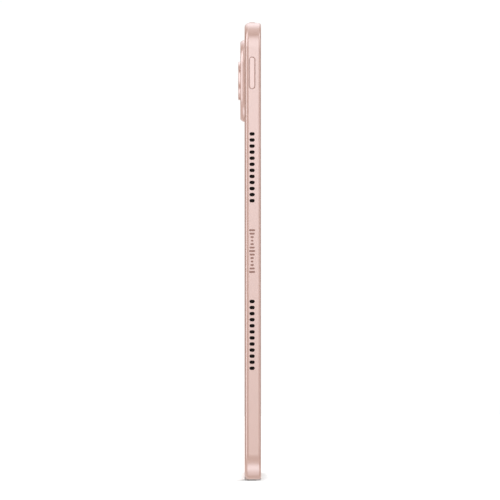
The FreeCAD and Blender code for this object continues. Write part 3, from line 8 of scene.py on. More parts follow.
import bmesh
import bpy
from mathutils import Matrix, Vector


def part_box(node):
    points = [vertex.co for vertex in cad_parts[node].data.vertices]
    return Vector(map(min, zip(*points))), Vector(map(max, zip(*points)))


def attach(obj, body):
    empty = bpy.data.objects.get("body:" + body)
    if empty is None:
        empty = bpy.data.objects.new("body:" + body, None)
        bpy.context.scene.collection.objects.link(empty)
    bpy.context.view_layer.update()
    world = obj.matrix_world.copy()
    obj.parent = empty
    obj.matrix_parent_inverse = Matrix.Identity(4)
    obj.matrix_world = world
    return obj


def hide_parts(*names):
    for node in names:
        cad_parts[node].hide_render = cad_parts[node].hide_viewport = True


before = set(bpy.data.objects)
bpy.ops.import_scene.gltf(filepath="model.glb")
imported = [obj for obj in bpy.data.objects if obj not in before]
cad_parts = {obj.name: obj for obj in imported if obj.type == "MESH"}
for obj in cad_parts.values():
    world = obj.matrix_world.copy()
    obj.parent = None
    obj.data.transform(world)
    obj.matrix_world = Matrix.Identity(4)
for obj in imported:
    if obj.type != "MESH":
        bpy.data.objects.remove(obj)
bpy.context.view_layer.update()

MM = 0.001
WELD = 1e-7  # points closer than this are one point
SHARP_ANGLE = math.radians(28)
OVERLAP = 1.0 * MM  # cutters reach past a surface by this much
FRONT, SIDE, TOP = "front", "side", "top"
TABLET = "tablet"

# The body's own shape, where the frame's boxes don't give it.
CORNER_RADIUS = 10.0 * MM
BACK_EDGE = 1.8 * MM
FRONT_EDGE = 1.0 * MM
LIP_WIDTH = 1.1 * MM
LIP_DEPTH = 1.1 * MM
SIDE_WALL = 1.5 * MM
BACK_WALL = 0.8 * MM
INNER_FILLET = 0.6 * MM
HOLE_FLARE = 0.06 * MM
FINE_FLARE = 0.03 * MM
OUTLINE_STEPS = 36  # steps in a quarter of a large outline's corner
SLOT_STEPS = 10  # steps in a quarter of a small hole
TO_BACK, TO_SCREEN = 1, -1  # along Y
EDGE_STEPS = 12  # steps over a rounded edge
CROWN_STEPS = 8  # steps over a button's crown
RIM_STEPS = 6  # steps over a thin rim
FINE_STEPS = 4  # steps over an edge that is only just broken

ROSE = (0.80, 0.612, 0.565)  # the metal's own colour
RING_ROSE = (0.74, 0.545, 0.495)


def middle(node):
    low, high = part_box(node)
    return (low + high) / 2


def span(node):
    low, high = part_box(node)
    return high - low


LOW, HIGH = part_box("rear_housing")
FACE, BACK = LOW.y, HIGH.y
LENGTH, _, HEIGHT = HIGH - LOW
CENTRE = (LOW + HIGH) / 2
BODY = ((CENTRE.x, CENTRE.z), (LENGTH, HEIGHT), CORNER_RADIUS)  # middle, size and corners
EDGE_LINE = middle("usb_shell").y  # where the buttons, holes and port are centred across the edge


# ---- shapes ----


def spot(plane, point, level):
    """A point of a drawing on a plane, at a level across it."""
    across, up = point
    return {FRONT: (across, level, up), SIDE: (level, across, up), TOP: (across, up, level)}[plane]


def outline(width, height, radius, steps):
    """A rectangle with round corners about the middle, counterclockwise."""
    points = []
    for quarter, (side, end) in enumerate(((1, 1), (-1, 1), (-1, -1), (1, -1))):
        for step in range(steps + 1):
            angle = math.pi / 2 * (quarter + step / steps)
            across = side * (width / 2 - radius) + radius * math.cos(angle)
            up = end * (height / 2 - radius) + radius * math.sin(angle)
            points.append((across, up))
    return points


def rounding(radius, steps=EDGE_STEPS):
    """(inset, depth) pairs from a flat face, over its rounded edge, to the side."""
    angles = [math.pi / 2 * step / steps for step in range(steps + 1)]
    return [(radius * (1 - math.sin(angle)), radius * (1 - math.cos(angle))) for angle in angles]


def rings(plane, centre, size, radius, profile, steps=SLOT_STEPS):
    """One ring of points for each (inset, level) of a profile."""
    made = []
    for inset, level in profile:
        corner = max(radius - inset, WELD)
        shape = outline(size[0] - 2 * inset, size[1] - 2 * inset, corner, steps)
        made.append([spot(plane, (centre[0] + a, centre[1] + u), level) for a, u in shape])
    return made


def round_rings(plane, centre, profile, steps=SLOT_STEPS):
    """One circle for each (radius, level) of a turned profile."""
    made = []
    for radius, level in profile:
        shape = outline(2 * radius, 2 * radius, radius, steps)
        made.append([spot(plane, (centre[0] + a, centre[1] + u), level) for a, u in shape])
    return made


def slab_profile(low, high, low_edge=0.0, high_edge=0.0, steps=EDGE_STEPS):
    """The profile of a plate between two levels, with a rounded edge at either."""
    start = [(inset, low + depth) for inset, depth in rounding(low_edge, steps)] if low_edge else [(0, low)]
    end = [(inset, high - depth) for inset, depth in rounding(high_edge, steps)] if high_edge else [(0, high)]
    return start + end[::-1]


def skin(mesh, loops, closed=False):
    """Joins rings of equally many points into a closed surface in a bmesh."""
    made = [[mesh.verts.new(point) for point in loop] for loop in loops]
    following = made[1:] + made[:1] if closed else made[1:]
    for near, far in zip(made, following):
        for here in range(len(near)):
            there = (here + 1) % len(near)
            mesh.faces.new((near[here], near[there], far[there], far[here]))
    if not closed:
        mesh.faces.new(made[0])
        mesh.faces.new(made[-1])


def new_object(name, solids, closed=False):
    """An object made of one or more lofted solids."""
    mesh = bmesh.new()
    for loops in solids:
        skin(mesh, loops, closed)
    bmesh.ops.remove_doubles(mesh, verts=mesh.verts, dist=WELD)
    bmesh.ops.recalc_face_normals(mesh, faces=mesh.faces)
    data = bpy.data.meshes.new(name)
    mesh.to_mesh(data)
    mesh.free()
    made = bpy.data.objects.new(name, data)
    bpy.context.scene.collection.objects.link(made)
    return made


def carve(piece, solids, operation="DIFFERENCE"):
    """Cuts lofted solids out of an object, or joins them to it."""
    cutter = new_object("cutter", solids)
    modifier = piece.modifiers.new("Carve", "BOOLEAN")
    modifier.operation = operation
    modifier.solver = "EXACT"
    modifier.object = cutter
    bpy.context.view_layer.update()
    carved = bpy.data.meshes.new_from_object(piece.evaluated_get(bpy.context.evaluated_depsgraph_get()))
    piece.modifiers.remove(modifier)
    piece.data = carved
    bpy.data.objects.remove(cutter)


def add_piece(piece, look, body=TABLET, instead=()):
    """Finishes a piece's normals and look, and tells the frame where it belongs."""
    piece.data.shade_smooth()
    piece.data.set_sharp_from_angle(angle=SHARP_ANGLE)
    normals = piece.modifiers.new("Normals", "WEIGHTED_NORMAL")
    normals.keep_sharp = True
    piece.data.materials.clear()
    piece.data.materials.append(look)
    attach(piece, body)
    if instead:
        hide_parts(*instead)


def hole(plane, centre, size, surface, inner, flare=HOLE_FLARE):
    """A cutter with round ends from an inner level out past a surface, with a small bevel at the mouth."""
    outward = 1 if surface > inner else -1
    profile = [
        (0, inner),
        (0, surface - outward * flare),
        (-flare - OVERLAP, surface + outward * OVERLAP),
    ]
    return rings(plane, centre, size, min(size) / 2, profile)


# ---- materials ----

WAVE_SCALE = math.pi / 10  # the wave texture's scale that makes a band as wide as its unit


def shade(color, factor):
    """A colour made darker or lighter."""
    return tuple(min(part * factor, 1.0) for part in color)


class Nodes:
    """A node tree with short calls for its nodes, which take numbers, colours or sockets."""

    def __init__(self, tree):
        self.tree = tree

    def add(self, kind, **values):
        node = self.tree.nodes.new(kind)
        for name, value in values.items():
            setattr(node, name, value)
        return node

    def feed(self, source, target):
        if isinstance(source, bpy.types.NodeSocket):
            self.tree.links.new(source, target)
        else:
            target.default_value = source

    def math(self, operation, *values):
        made = self.add("ShaderNodeMath", operation=operation)
        for value, socket in zip(values, made.inputs):
            self.feed(value, socket)
        return made.outputs[0]

    def vector(self, operation, first, second):
        made = self.add("ShaderNodeVectorMath", operation=operation)
        self.feed(first, made.inputs[0])
        self.feed(second, made.inputs[1])
        return made.outputs[0]

    def axes(self, vector):
        made = self.add("ShaderNodeSeparateXYZ")
        self.feed(vector, made.inputs[0])
        return made.outputs

    def range(self, value, start, end, low=0.0, high=1.0, kind="LINEAR"):
        """Takes start..end to low..high, and holds it beyond them."""
        made = self.add("ShaderNodeMapRange", interpolation_type=kind)
        for source, socket in zip((value, start, end, low, high), made.inputs):
            self.feed(source, socket)
        return made.outputs["Result"]

    def mix(self, factor, first, second):
        """The colour that goes from the first to the second as the factor goes from 0 to 1."""
        made = self.add("ShaderNodeMix", data_type="RGBA")
        self.feed(factor, next(socket for socket in made.inputs if socket.type == "VALUE"))
        ends = [socket for socket in made.inputs if socket.type == "RGBA"]
        for color, socket in zip((first, second), ends):
            self.feed((*color, 1.0), socket)
        return next(socket for socket in made.outputs if socket.type == "RGBA")


class Look(Nodes):
    """A Principled material with procedural textures. Sizes are in metres."""

    def __init__(self, name, color, roughness, metallic=0.0, **constant):
        self.material = bpy.data.materials.new(name)
        self.material.use_nodes = True
        super().__init__(self.material.node_tree)
        self.shader = self.tree.nodes["Principled BSDF"]
        self.color = color
        self.roughness = roughness
        self.set("Base Color", (*color, 1.0))
        self.set("Roughness", roughness)
        self.set("Metallic", metallic)
        for socket, value in constant.items():
            self.set(socket.replace("_", " "), value)
        self.place = self.add("ShaderNodeTexCoord").outputs["Object"]

    def set(self, socket, value):
        self.feed(value, self.shader.inputs[socket])

    def scaled(self, size, stretch=(1, 1, 1)):
        """The place on the object, in units of a size."""
        return self.vector("MULTIPLY", self.place, tuple(part / size for part in stretch))

    def noise(self, size, detail=3.0, stretch=(1, 1, 1)):
        """Noise whose blobs are about one size across."""
        made = self.add("ShaderNodeTexNoise")
        self.feed(1.0, made.inputs["Scale"])
        self.feed(detail, made.inputs["Detail"])
        self.feed(self.scaled(size, stretch), made.inputs["Vector"])
        return made.outputs["Fac"]

    def wave(self, pitch, direction):
        """Straight bands across an axis of the object."""
        made = self.add("ShaderNodeTexWave", bands_direction=direction)
        self.feed(WAVE_SCALE, made.inputs["Scale"])
        self.feed(self.scaled(pitch), made.inputs["Vector"])
        return made.outputs["Fac"]

    def radius(self, centre):
        """Distance from an axis along Y through a point."""
        flat = self.vector("MULTIPLY", self.vector("SUBTRACT", self.place, centre), (1, 0, 1))
        length = self.add("ShaderNodeVectorMath", operation="LENGTH")
        self.feed(flat, length.inputs[0])
        return length.outputs["Value"]

    def within(self, value, centre, reach):
        """1 where a value is within a reach of the centre, else 0."""
        away = self.math("ABSOLUTE", self.math("SUBTRACT", value, centre))
        return self.math("LESS_THAN", away, reach)

    def tint(self, factor, first, second):
        """Mixes the base colour from two colours."""
        self.set("Base Color", self.mix(factor, first, second))

    def vary(self, factor, amount):
        """Makes the base colour a little darker and lighter about its own value."""
        self.tint(factor, shade(self.color, 1 - amount), shade(self.color, 1 + amount))

    def roughen(self, factor, amount):
        low, high = self.roughness - amount, self.roughness + amount
        self.set("Roughness", self.range(factor, 0.0, 1.0, low, high))

    def bump(self, pattern, depth):
        made = self.add("ShaderNodeBump")
        self.feed(depth, made.inputs["Distance"])
        self.feed(pattern, made.inputs["Height"])
        self.set("Normal", made.outputs[0])

    def worn(self, blotches, tone, patches, gloss):
        """Blotches of a size that differ in tone, and patches of a size that differ in gloss."""
        self.vary(self.noise(blotches), tone)
        self.roughen(self.noise(patches), gloss)


def anodised_aluminium():
    """Bead-blasted and dyed: an even satin with a very fine grain."""
    look = Look("rose_anodised", ROSE, roughness=0.34, metallic=1.0)
    look.worn(blotches=9.0 * MM, tone=0.012, patches=0.4 * MM, gloss=0.02)
    look.bump(look.noise(0.09 * MM, detail=2.0), depth=0.003 * MM)
    return look.material


def polished_aluminium():
    """The buttons' finish: finer than the housing's."""
    look = Look("rose_polished", ROSE, roughness=0.3, metallic=1.0)
    look.worn(blotches=3.0 * MM, tone=0.015, patches=0.5 * MM, gloss=0.02)
    look.bump(look.noise(0.06 * MM), depth=0.0006 * MM)
    return look.material


def turned_aluminium(centre):
    """A diamond-turned ring: bright, with fine marks round its axis."""
    look = Look("rose_turned", RING_ROSE, roughness=0.11, metallic=1.0)
    look.worn(blotches=2.0 * MM, tone=0.015, patches=0.3 * MM, gloss=0.02)
    mark_pitch = 0.05 * MM
    turns = look.math("MULTIPLY", look.radius(centre), 2 * math.pi / mark_pitch)
    look.bump(look.math("SINE", turns), depth=0.0003 * MM)
    return look.material


def black_glass():
    """The bonded screen, switched off: deep black, a shade lighter where the display is lit in use."""
    look = Look("black_glass", (0.0025, 0.0025, 0.003), roughness=0.04, IOR=1.5)
    look.set("Specular Tint", (0.80, 0.91, 1.0, 1.0))
    lit_black = (0.006, 0.0063, 0.0075)
    x, _, z = look.axes(look.place)
    centre, panel = middle("lcd_panel"), span("lcd_panel")
    across = look.within(x, centre.x, (panel.x - PANEL_BORDER) / 2)
    up = look.within(z, centre.z, (panel.z - PANEL_BORDER) / 2)
    look.tint(look.math("MULTIPLY", across, up), look.color, lit_black)
    look.roughen(look.noise(12.0 * MM), 0.008)
    return look.material


def clear_glass(name, color):
    """Hard clear glass with an anti-reflection coating."""
    look = Look(name, color, roughness=0.0, IOR=1.2, Transmission_Weight=1.0)
    look.vary(look.noise(4.0 * MM), 0.01)
    return look.material


def moulded_plastic(name, color, roughness=0.5, gloss=0.5):
    """Spark-eroded mould texture on a dark or light plastic."""
    look = Look(name, color, roughness, Specular_IOR_Level=gloss)
    look.worn(blotches=2.0 * MM, tone=0.08, patches=0.3 * MM, gloss=0.06)
    look.bump(look.noise(0.08 * MM), depth=0.003 * MM)
    return look.material


def plated_metal(name, color, roughness):
    """Plating over rolled sheet, with its grain drawn out across Z."""
    look = Look(name, color, roughness, metallic=1.0)
    look.worn(blotches=1.5 * MM, tone=0.04, patches=0.4 * MM, gloss=0.04)
    look.bump(look.noise(0.15 * MM, stretch=(1, 1, 8)), depth=0.0008 * MM)
    return look.material


def woven_mesh(name, color, pitch):
    """Two sets of round wires over and under each other, with painted shade between the wires."""
    look = Look(name, color, roughness=0.55, metallic=0.6)
    weave_and_shade = look.math("MULTIPLY", look.wave(pitch, "Y"), look.wave(pitch, "Z"))
    # Painted shade: the colour falls to a quarter of its own value between the wires.
    look.tint(weave_and_shade, shade(color, 0.25), color)
    look.bump(weave_and_shade, depth=0.03 * MM)
    return look.material


def circuit_board(name, color):
    """Dark solder mask, lighter and higher over the copper tracks."""
    look = Look(name, color, roughness=0.35)
    copper_level = 0.52
    tracks = look.math("GREATER_THAN", look.noise(1.6 * MM, detail=6.0), copper_level)
    look.tint(tracks, color, shade(color, 1.7))
    look.bump(tracks, depth=0.02 * MM)
    return look.material


def flexible_circuit(name, color):
    """Amber film over parallel copper tracks."""
    look = Look(name, color, roughness=0.3, metallic=0.3)
    tracks = look.wave(0.5 * MM, "X")
    look.tint(tracks, shade(color, 0.6), color)
    look.bump(tracks, depth=0.01 * MM)
    return look.material


def foil(name, color, roughness, metallic):
    """Slightly wrinkled foil or film, with painted shade in the hollows of its wrinkles and painted highlight
    on their crests.
    """
    look = Look(name, color, roughness, metallic)
    creases_and_shade = look.noise(6.0 * MM, detail=5.0)
    # Painted shade and highlight: the colour follows the wrinkles' height, darker in the hollows and lighter
    # on the crests.
    look.vary(creases_and_shade, 0.08)
    look.roughen(look.noise(1.0 * MM), 0.05)
    look.bump(creases_and_shade, depth=0.05 * MM)
    return look.material


def printed_ink():
    """A thin print in a darker rose."""
    look = Look("printed_ink", (0.44, 0.255, 0.215), roughness=0.5, metallic=0.35)
    look.worn(blotches=0.3 * MM, tone=0.04, patches=0.2 * MM, gloss=0.05)
    return look.material


def coated_lens(name, color):
    """A camera lens: very dark, with the coating's colour in its reflections, and a dim painted sheen of that
    colour in the base colour towards grazing angles.
    """
    look = Look(name, (0.003, 0.003, 0.004), roughness=0.02, IOR=1.6)
    look.set("Specular Tint", (*color, 1.0))
    # Painted sheen: the base colour turns to a dim shade of the coating's colour towards grazing angles.
    painted_sheen = look.add("ShaderNodeLayerWeight")
    look.feed(0.35, painted_sheen.inputs["Blend"])
    look.tint(painted_sheen.outputs["Facing"], look.color, shade(color, 0.06))
    return look.material


def frosted_lens(centre):
    """The flash's lens: milky plastic, yellow over the lamp below its middle."""
    look = Look("flash_lens", (0.90, 0.86, 0.74), roughness=0.22, IOR=1.49)
    lamp_yellow = (0.88, 0.66, 0.22)
    rim = look.range(look.radius(centre), 0.6 * MM, 1.5 * MM, kind="SMOOTHSTEP")
    look.tint(rim, lamp_yellow, look.color)
    look.roughen(look.noise(0.8 * MM), 0.04)
    look.set("Subsurface Weight", 0.3)
    look.set("Subsurface Radius", (0.6 * MM, 0.5 * MM, 0.3 * MM))
    look.set("Coat Weight", 0.6)
    look.set("Coat Roughness", 0.05)
    return look.material


# ---- the pieces ----

SPEAKERS = ("lower_left", "upper_left", "lower_right", "upper_right")
HOLE_COUNT = 12
HOLE_PITCH = 2.405 * MM
HOLE_SIZE = (2.06 * MM, 1.34 * MM)
BUTTON_GAP = 0.12 * MM
BUTTON_CROWN = 0.3 * MM
BUTTON_WIDTH = 2.2 * MM
POWER_LENGTH = 12.5 * MM
ROCKER_LENGTH = 22.0 * MM
COLLAR_START = 1.8 * MM  # from the edge to a button's collar
COLLAR_END = 2.2 * MM
PORT_GAP = 0.07 * MM
TRAY_GAP = 0.08 * MM
MICROPHONE_HOLE = 0.8 * MM
MICROPHONE_WIDTH = 3.5 * MM
FINE_GAP = 0.05 * MM
FINE_EDGE = 0.05 * MM
CAMERA_OPENING = 10.1 * MM
OPENING_CORNER = 1.1 * MM
FLASH_OPENING = 4.8 * MM
COLLAR_OVERHANG = 0.45 * MM
FOOT_RADIUS = 0.7 * MM
FOOT_LENGTH = 0.55 * MM
SWITCH_OFFSET = 7.5 * MM
PIVOT_RADIUS = 0.45 * MM
BAR_COUNT = 13
BAR_PITCH = 1.38 * MM
BAR_WIDTH = 0.75 * MM
BAR_SHORT = 1.0 * MM
BAR_LONG = 2.4 * MM
BAR_TURN = math.pi / 3  # six bars to a wave of the mark
INK_THICKNESS = 0.01 * MM
BEZEL_LIP = 0.25 * MM
BEZEL_EDGE = 0.05 * MM
PANEL_BORDER = 2.8 * MM  # how much smaller the lit part is than the panel
GLUE_LINE = 0.1 * MM
PANEL_GAP = 0.2 * MM
PANEL_CORNER = 1.5 * MM
NOTCH_CORNER = 0.2 * MM
GLASS_EDGE = 0.2 * MM
GLASS_BACK_EDGE = 0.05 * MM
WINDOW_EDGE = 0.1 * MM
WINDOW_GAP = 0.01 * MM
SELFIE_WINDOW = 3.0 * MM
SENSOR_WINDOW = 1.2 * MM
ISLAND_EDGE = 1.05 * MM
ISLAND_BEVEL = 0.8 * MM
CHAMFER_BLEND = 0.3  # how far its rounding reaches, of its depth
ISLAND_CORNER = 9.5 * MM
ISLAND_DRAFT = 0.13 * MM  # how much wider the island is at its foot
LENS_BORE = 6.0 * MM
RING_EDGE = 0.3 * MM
RING_BEVEL = 0.12 * MM
RING_BORE = 5.4 * MM
RING_SPIGOT = 5.9 * MM
PRINT_THICKNESS = 0.04 * MM
PUPIL_OPENING = 3.6 * MM
BARREL_STEPS = 3
STEP_WIDTH = 0.09  # this and the next four are shares of the barrel's radius
STEP_SLOPE = 0.03
STEP_DEPTH = 0.04
DOME_LIFT = 0.01
DOME_RISE = 0.10
FLASH_RIM = 0.25 * MM
FLASH_RINGS = 6
FLASH_GROOVE = 0.05 * MM
FLASH_STEP = 0.125  # a ring's slope, of its width
CAP_DEPTH = 1.6 * MM
TRAY_EDGE = 0.06 * MM
PLATE_SHIFT = -1.0 * MM
PLATE_THICKNESS = 0.9 * MM
PLATE_WIDTH = 12.4 * MM
PLATE_CORNER = 1.5 * MM
CARD_SIZE = (11.1 * MM, 15.1 * MM)
CARD_DEPTH = 0.7 * MM
CARD_MARGIN = 0.3 * MM
EJECT_SHIFT = 6.45 * MM
EJECT_HOLE = 0.9 * MM
PORT_WALL = 0.3 * MM
PORT_BASE = 1.4 * MM
TONGUE_SIZE = (0.7 * MM, 6.7 * MM)
TONGUE_CORNER = TONGUE_SIZE[0] / 3
TONGUE_EDGE = TONGUE_SIZE[0] / 4
PIN_EDGE = 0.25  # of a contact pin's width


def housing_profile():
    """(inset, level) pairs from the outside of the back, round the edge, to the floor inside."""
    points = [(inset, BACK - depth) for inset, depth in rounding(BACK_EDGE)]
    points += [(inset, FACE + depth) for inset, depth in rounding(FRONT_EDGE)[::-1]]
    points += [(LIP_WIDTH, FACE), (LIP_WIDTH, FACE + LIP_DEPTH), (SIDE_WALL, FACE + LIP_DEPTH)]
    floor = BACK - BACK_WALL
    inner = [(SIDE_WALL + inset, floor - depth) for inset, depth in rounding(INNER_FILLET)[::-1]]
    return points + inner


def grille_cutters(right, z):
    """The row of speaker holes in one half of a short edge."""
    surface = HIGH.x if right else LOW.x
    inner = surface - (SIDE_WALL + OVERLAP) * (1 if right else -1)
    first = z - HOLE_PITCH * (HOLE_COUNT - 1) / 2
    centres = [(EDGE_LINE, first + HOLE_PITCH * number) for number in range(HOLE_COUNT)]
    return [hole(SIDE, centre, HOLE_SIZE, surface, inner) for centre in centres]


def housing_cutters():
    """Every opening in the edges and the back."""
    depth = SIDE_WALL + OVERLAP
    cutters = []
    for name in SPEAKERS:
        cutters += grille_cutters(name.endswith("right"), middle(f"speaker_mesh_{name}").z)
    power = (BUTTON_WIDTH + 2 * BUTTON_GAP, POWER_LENGTH + 2 * BUTTON_GAP)
    power_at = (EDGE_LINE, middle("power_button").z)
    cutters.append(hole(SIDE, power_at, power, LOW.x, LOW.x + depth))
    shell = span("usb_shell")
    port = (shell.y + 2 * PORT_GAP, shell.z + 2 * PORT_GAP)
    cutters.append(hole(SIDE, (EDGE_LINE, middle("usb_shell").z), port, HIGH.x, HIGH.x - depth))
    rocker = (ROCKER_LENGTH + 2 * BUTTON_GAP, BUTTON_WIDTH + 2 * BUTTON_GAP)
    cutters.append(hole(TOP, (middle("volume_rocker").x, EDGE_LINE), rocker, HIGH.z, HIGH.z - depth))
    tray, tray_at = span("card_tray"), (middle("card_tray").x, EDGE_LINE)
    slot = (tray.x + 2 * TRAY_GAP, tray.y + 2 * TRAY_GAP)
    cutters.append(hole(TOP, tray_at, slot, HIGH.z, HIGH.z - depth, FINE_FLARE))
    reach = (span("microphones").x - MICROPHONE_WIDTH) / 2
    small = (MICROPHONE_HOLE, MICROPHONE_HOLE)
    for x in (-reach, reach):
        cutters.append(hole(TOP, (x, EDGE_LINE), small, HIGH.z, HIGH.z - depth, FINE_FLARE))
    insert = span("contact_block")
    opening = (insert.x + 2 * FINE_GAP, insert.y + 2 * FINE_GAP)
    cutters.append(hole(TOP, (0, 0), opening, LOW.z, LOW.z + depth, FINE_FLARE))
    camera, flash = middle("rear_camera_housing"), middle("flash_led")
    through = [(0, BACK - BACK_WALL - OVERLAP), (0, BACK + OVERLAP)]
    opening = (CAMERA_OPENING, CAMERA_OPENING)
    cutters.append(rings(FRONT, (camera.x, camera.z), opening, OPENING_CORNER, through))
    opening = (FLASH_OPENING, FLASH_OPENING)
    cutters.append(rings(FRONT, (flash.x, flash.z), opening, FLASH_OPENING / 2, through))
    return cutters


def make_housing(look):
    """The shell: back, four sides and the lip that the screen sits in."""
    housing = new_object("housing", [rings(FRONT, *BODY, housing_profile(), OUTLINE_STEPS)])
    carve(housing, housing_cutters())
    add_piece(housing, look, instead=["rear_housing"])


def bar_length(number):
    """The bars of the mark rise and fall evenly."""
    swell = (1 + math.cos(number * BAR_TURN)) / 2
    return BAR_SHORT + (BAR_LONG - BAR_SHORT) * swell


def make_edge_mark(look):
    """A printed row of plain round-ended bars between the two grilles."""
    bars = []
    for number in range(BAR_COUNT):
        z = CENTRE.z + BAR_PITCH * (number - (BAR_COUNT - 1) / 2)
        size = (bar_length(number), BAR_WIDTH)
        levels = [(0, LOW.x - INK_THICKNESS), (0, LOW.x + INK_THICKNESS)]
        bars.append(rings(SIDE, (EDGE_LINE, z), size, BAR_WIDTH / 2, levels))
    add_piece(new_object("edge_mark", bars), look)


# ---- screen ----


def make_bezel(look):
    """The black ring round the glass, with its ledge and the panel's opening."""
    low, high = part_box("display_frame")
    inset = (LENGTH - (high.x - low.x)) / 2
    glass_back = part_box("cover_glass")[1].y
    wall = SIDE_WALL + inset - LIP_WIDTH
    ledge = FACE + LIP_DEPTH - FINE_GAP
    outside = [
        (wall, high.y),
        (wall, ledge),
        (inset, ledge),
        (inset, low.y + BEZEL_EDGE),
        (inset + BEZEL_EDGE, low.y),
        (inset + BEZEL_LIP - BEZEL_EDGE, low.y),
        (inset + BEZEL_LIP, low.y + BEZEL_EDGE),
        (inset + BEZEL_LIP, glass_back + GLUE_LINE),
    ]
    panel = span("lcd_panel")
    opening = (panel.x + 2 * PANEL_GAP, panel.z + 2 * PANEL_GAP)
    inside = [(0, glass_back + GLUE_LINE), (0, high.y)]
    centre = (middle("lcd_panel").x, middle("lcd_panel").z)
    shape = rings(FRONT, *BODY, outside, OUTLINE_STEPS)
    shape += rings(FRONT, centre, opening, PANEL_CORNER, inside, OUTLINE_STEPS)
    bezel = new_object("bezel", [shape], closed=True)
    left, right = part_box("front_camera_housing")[0].x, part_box("light_sensor")[1].x
    tall = span("front_camera_housing").z + 2 * PANEL_GAP
    notch = (right - left + 2 * PANEL_GAP, tall)
    through = [(0, FACE + GLUE_LINE), (0, high.y + OVERLAP)]
    notch_at = ((left + right) / 2, middle("front_camera_lens").z)
    carve(bezel, [rings(FRONT, notch_at, notch, NOTCH_CORNER, through)])
    add_piece(bezel, look, instead=["display_frame"])


def make_screen(glass, clear):
    """The bonded cover glass, with clear windows over the front camera and the light sensor."""
    low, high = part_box("cover_glass")
    size = high - low
    radius = CORNER_RADIUS - (LENGTH - size.x) / 2
    profile = slab_profile(low.y, high.y, GLASS_EDGE, GLASS_BACK_EDGE, RIM_STEPS)
    sheet = rings(FRONT, (CENTRE.x, CENTRE.z), (size.x, size.z), radius, profile, OUTLINE_STEPS)
    screen = new_object("screen", [sheet])
    through = [(0, low.y - OVERLAP), (0, high.y + OVERLAP)]
    plug = [(WINDOW_GAP, low.y), (WINDOW_GAP, high.y)]
    windows = [
        ("selfie_window", middle("front_camera_lens"), SELFIE_WINDOW),
        ("sensor_window", middle("light_sensor"), SENSOR_WINDOW),
    ]
    circles = [(name, ((at.x, at.z), (width, width), width / 2)) for name, at, width in windows]
    carve(screen, [rings(FRONT, *circle, through) for _, circle in circles])
    add_piece(screen, glass, instead=["cover_glass"])
    for name, circle in circles:
        window = new_object(name, [rings(FRONT, *circle, plug, OUTLINE_STEPS)])
        add_piece(window, clear)


# ---- cameras ----


def dome_profile(radius, base, rise, steps=EDGE_STEPS):
    """(radius, level) pairs over a dome, from its rim almost to its top."""
    angles = [math.pi / 2 * step / steps for step in range(steps)]
    return [(radius * math.cos(angle), base + rise * math.sin(angle)) for angle in angles]


def make_lens(name, node, outward, barrel_look, glass_look, body=TABLET):
    """A camera's barrel, stepped inwards to its domed front element."""
    low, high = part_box(node)
    face, back = (high.y, low.y) if outward > 0 else (low.y, high.y)
    at = (middle(node).x, middle(node).z)
    outer = (high.x - low.x) / 2
    depth = outer * STEP_DEPTH * outward
    radius, level = outer * (1 - STEP_DEPTH), face
    profile = [(outer, back), (outer, face - depth), (radius, level)]
    for _ in range(BARREL_STEPS):
        radius -= outer * STEP_WIDTH
        profile.append((radius, level))
        radius -= outer * STEP_SLOPE
        level -= depth
        profile.append((radius, level))
    barrel = new_object(name + "_barrel", [round_rings(FRONT, at, profile, OUTLINE_STEPS)])
    add_piece(barrel, barrel_look, body=body, instead=[node])
    dome = dome_profile(radius, level + outer * DOME_LIFT * outward, outer * DOME_RISE * outward)
    glass = new_object(name + "_glass", [round_rings(FRONT, at, dome, OUTLINE_STEPS)])
    add_piece(glass, glass_look, body=body)


def lens_axis():
    """Where the rear camera's axis meets the front plane."""
    at = middle("camera_ring")
    return (at.x, at.z)


def softened_chamfer(inset, depth, top):
    """A chamfer up to a level whose two corners are rounded off, as a quadratic curve through each."""
    blend = depth * CHAMFER_BLEND
    slope = Vector((inset, depth)).normalized()
    points = []
    for corner, before, after in (
        (Vector((0, top - depth)), Vector((0, -1)), slope),
        (Vector((inset, top)), -slope, Vector((1, 0))),
    ):
        start, end = corner + before * blend, corner + after * blend
        for step in range(EDGE_STEPS + 1):
            way = step / EDGE_STEPS
            point = start * (1 - way) ** 2 + corner * (2 * way * (1 - way)) + end * way**2
            points.append(tuple(point))
    return points


def make_island(look):
    """The raised square round the camera, with a softened chamfer and a little draft."""
    low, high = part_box("camera_island")
    size = (high.x - low.x, high.z - low.z)
    at = ((low.x + high.x) / 2, (low.z + high.z) / 2)
    profile = [(-ISLAND_DRAFT, low.y)] + softened_chamfer(ISLAND_BEVEL, ISLAND_EDGE, high.y)
    shape = rings(FRONT, at, size, ISLAND_CORNER, profile, OUTLINE_STEPS)
    island = new_object("camera_island_shell", [shape])
    flash = middle("flash_lens")
    opening = 2 * LENS_BORE
    flash_hole = span("flash_lens").x + 2 * FINE_GAP
    cutters = [
        hole(FRONT, lens_axis(), (opening, opening), high.y, low.y - OVERLAP),
        hole(FRONT, (flash.x, flash.z), (flash_hole, flash_hole), high.y, low.y - OVERLAP),
    ]
    carve(island, cutters)
    add_piece(island, look, instead=["camera_island"])


def make_ring(look):
    """The turned ring: a bright rounded rim, a bevel down to the window and the ledge under it."""
    low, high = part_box("camera_ring")
    outer = (high.x - low.x) / 2
    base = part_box("camera_island")[1].y
    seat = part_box("camera_window")[0].y
    rim = [(outer - inset, high.y - depth) for inset, depth in rounding(RING_EDGE)[::-1]]
    window = span("camera_window").x / 2 + WINDOW_GAP
    profile = [(outer, base)] + rim + [
        (window + RING_BEVEL, high.y),
        (window, high.y - RING_BEVEL),
        (window, seat),
        (RING_BORE, seat),
        (RING_BORE, low.y),
        (RING_SPIGOT, low.y),
        (RING_SPIGOT, base),
    ]
    ring = new_object("lens_ring", [round_rings(FRONT, lens_axis(), profile, OUTLINE_STEPS)], closed=True)
    add_piece(ring, look, instead=["camera_ring"])


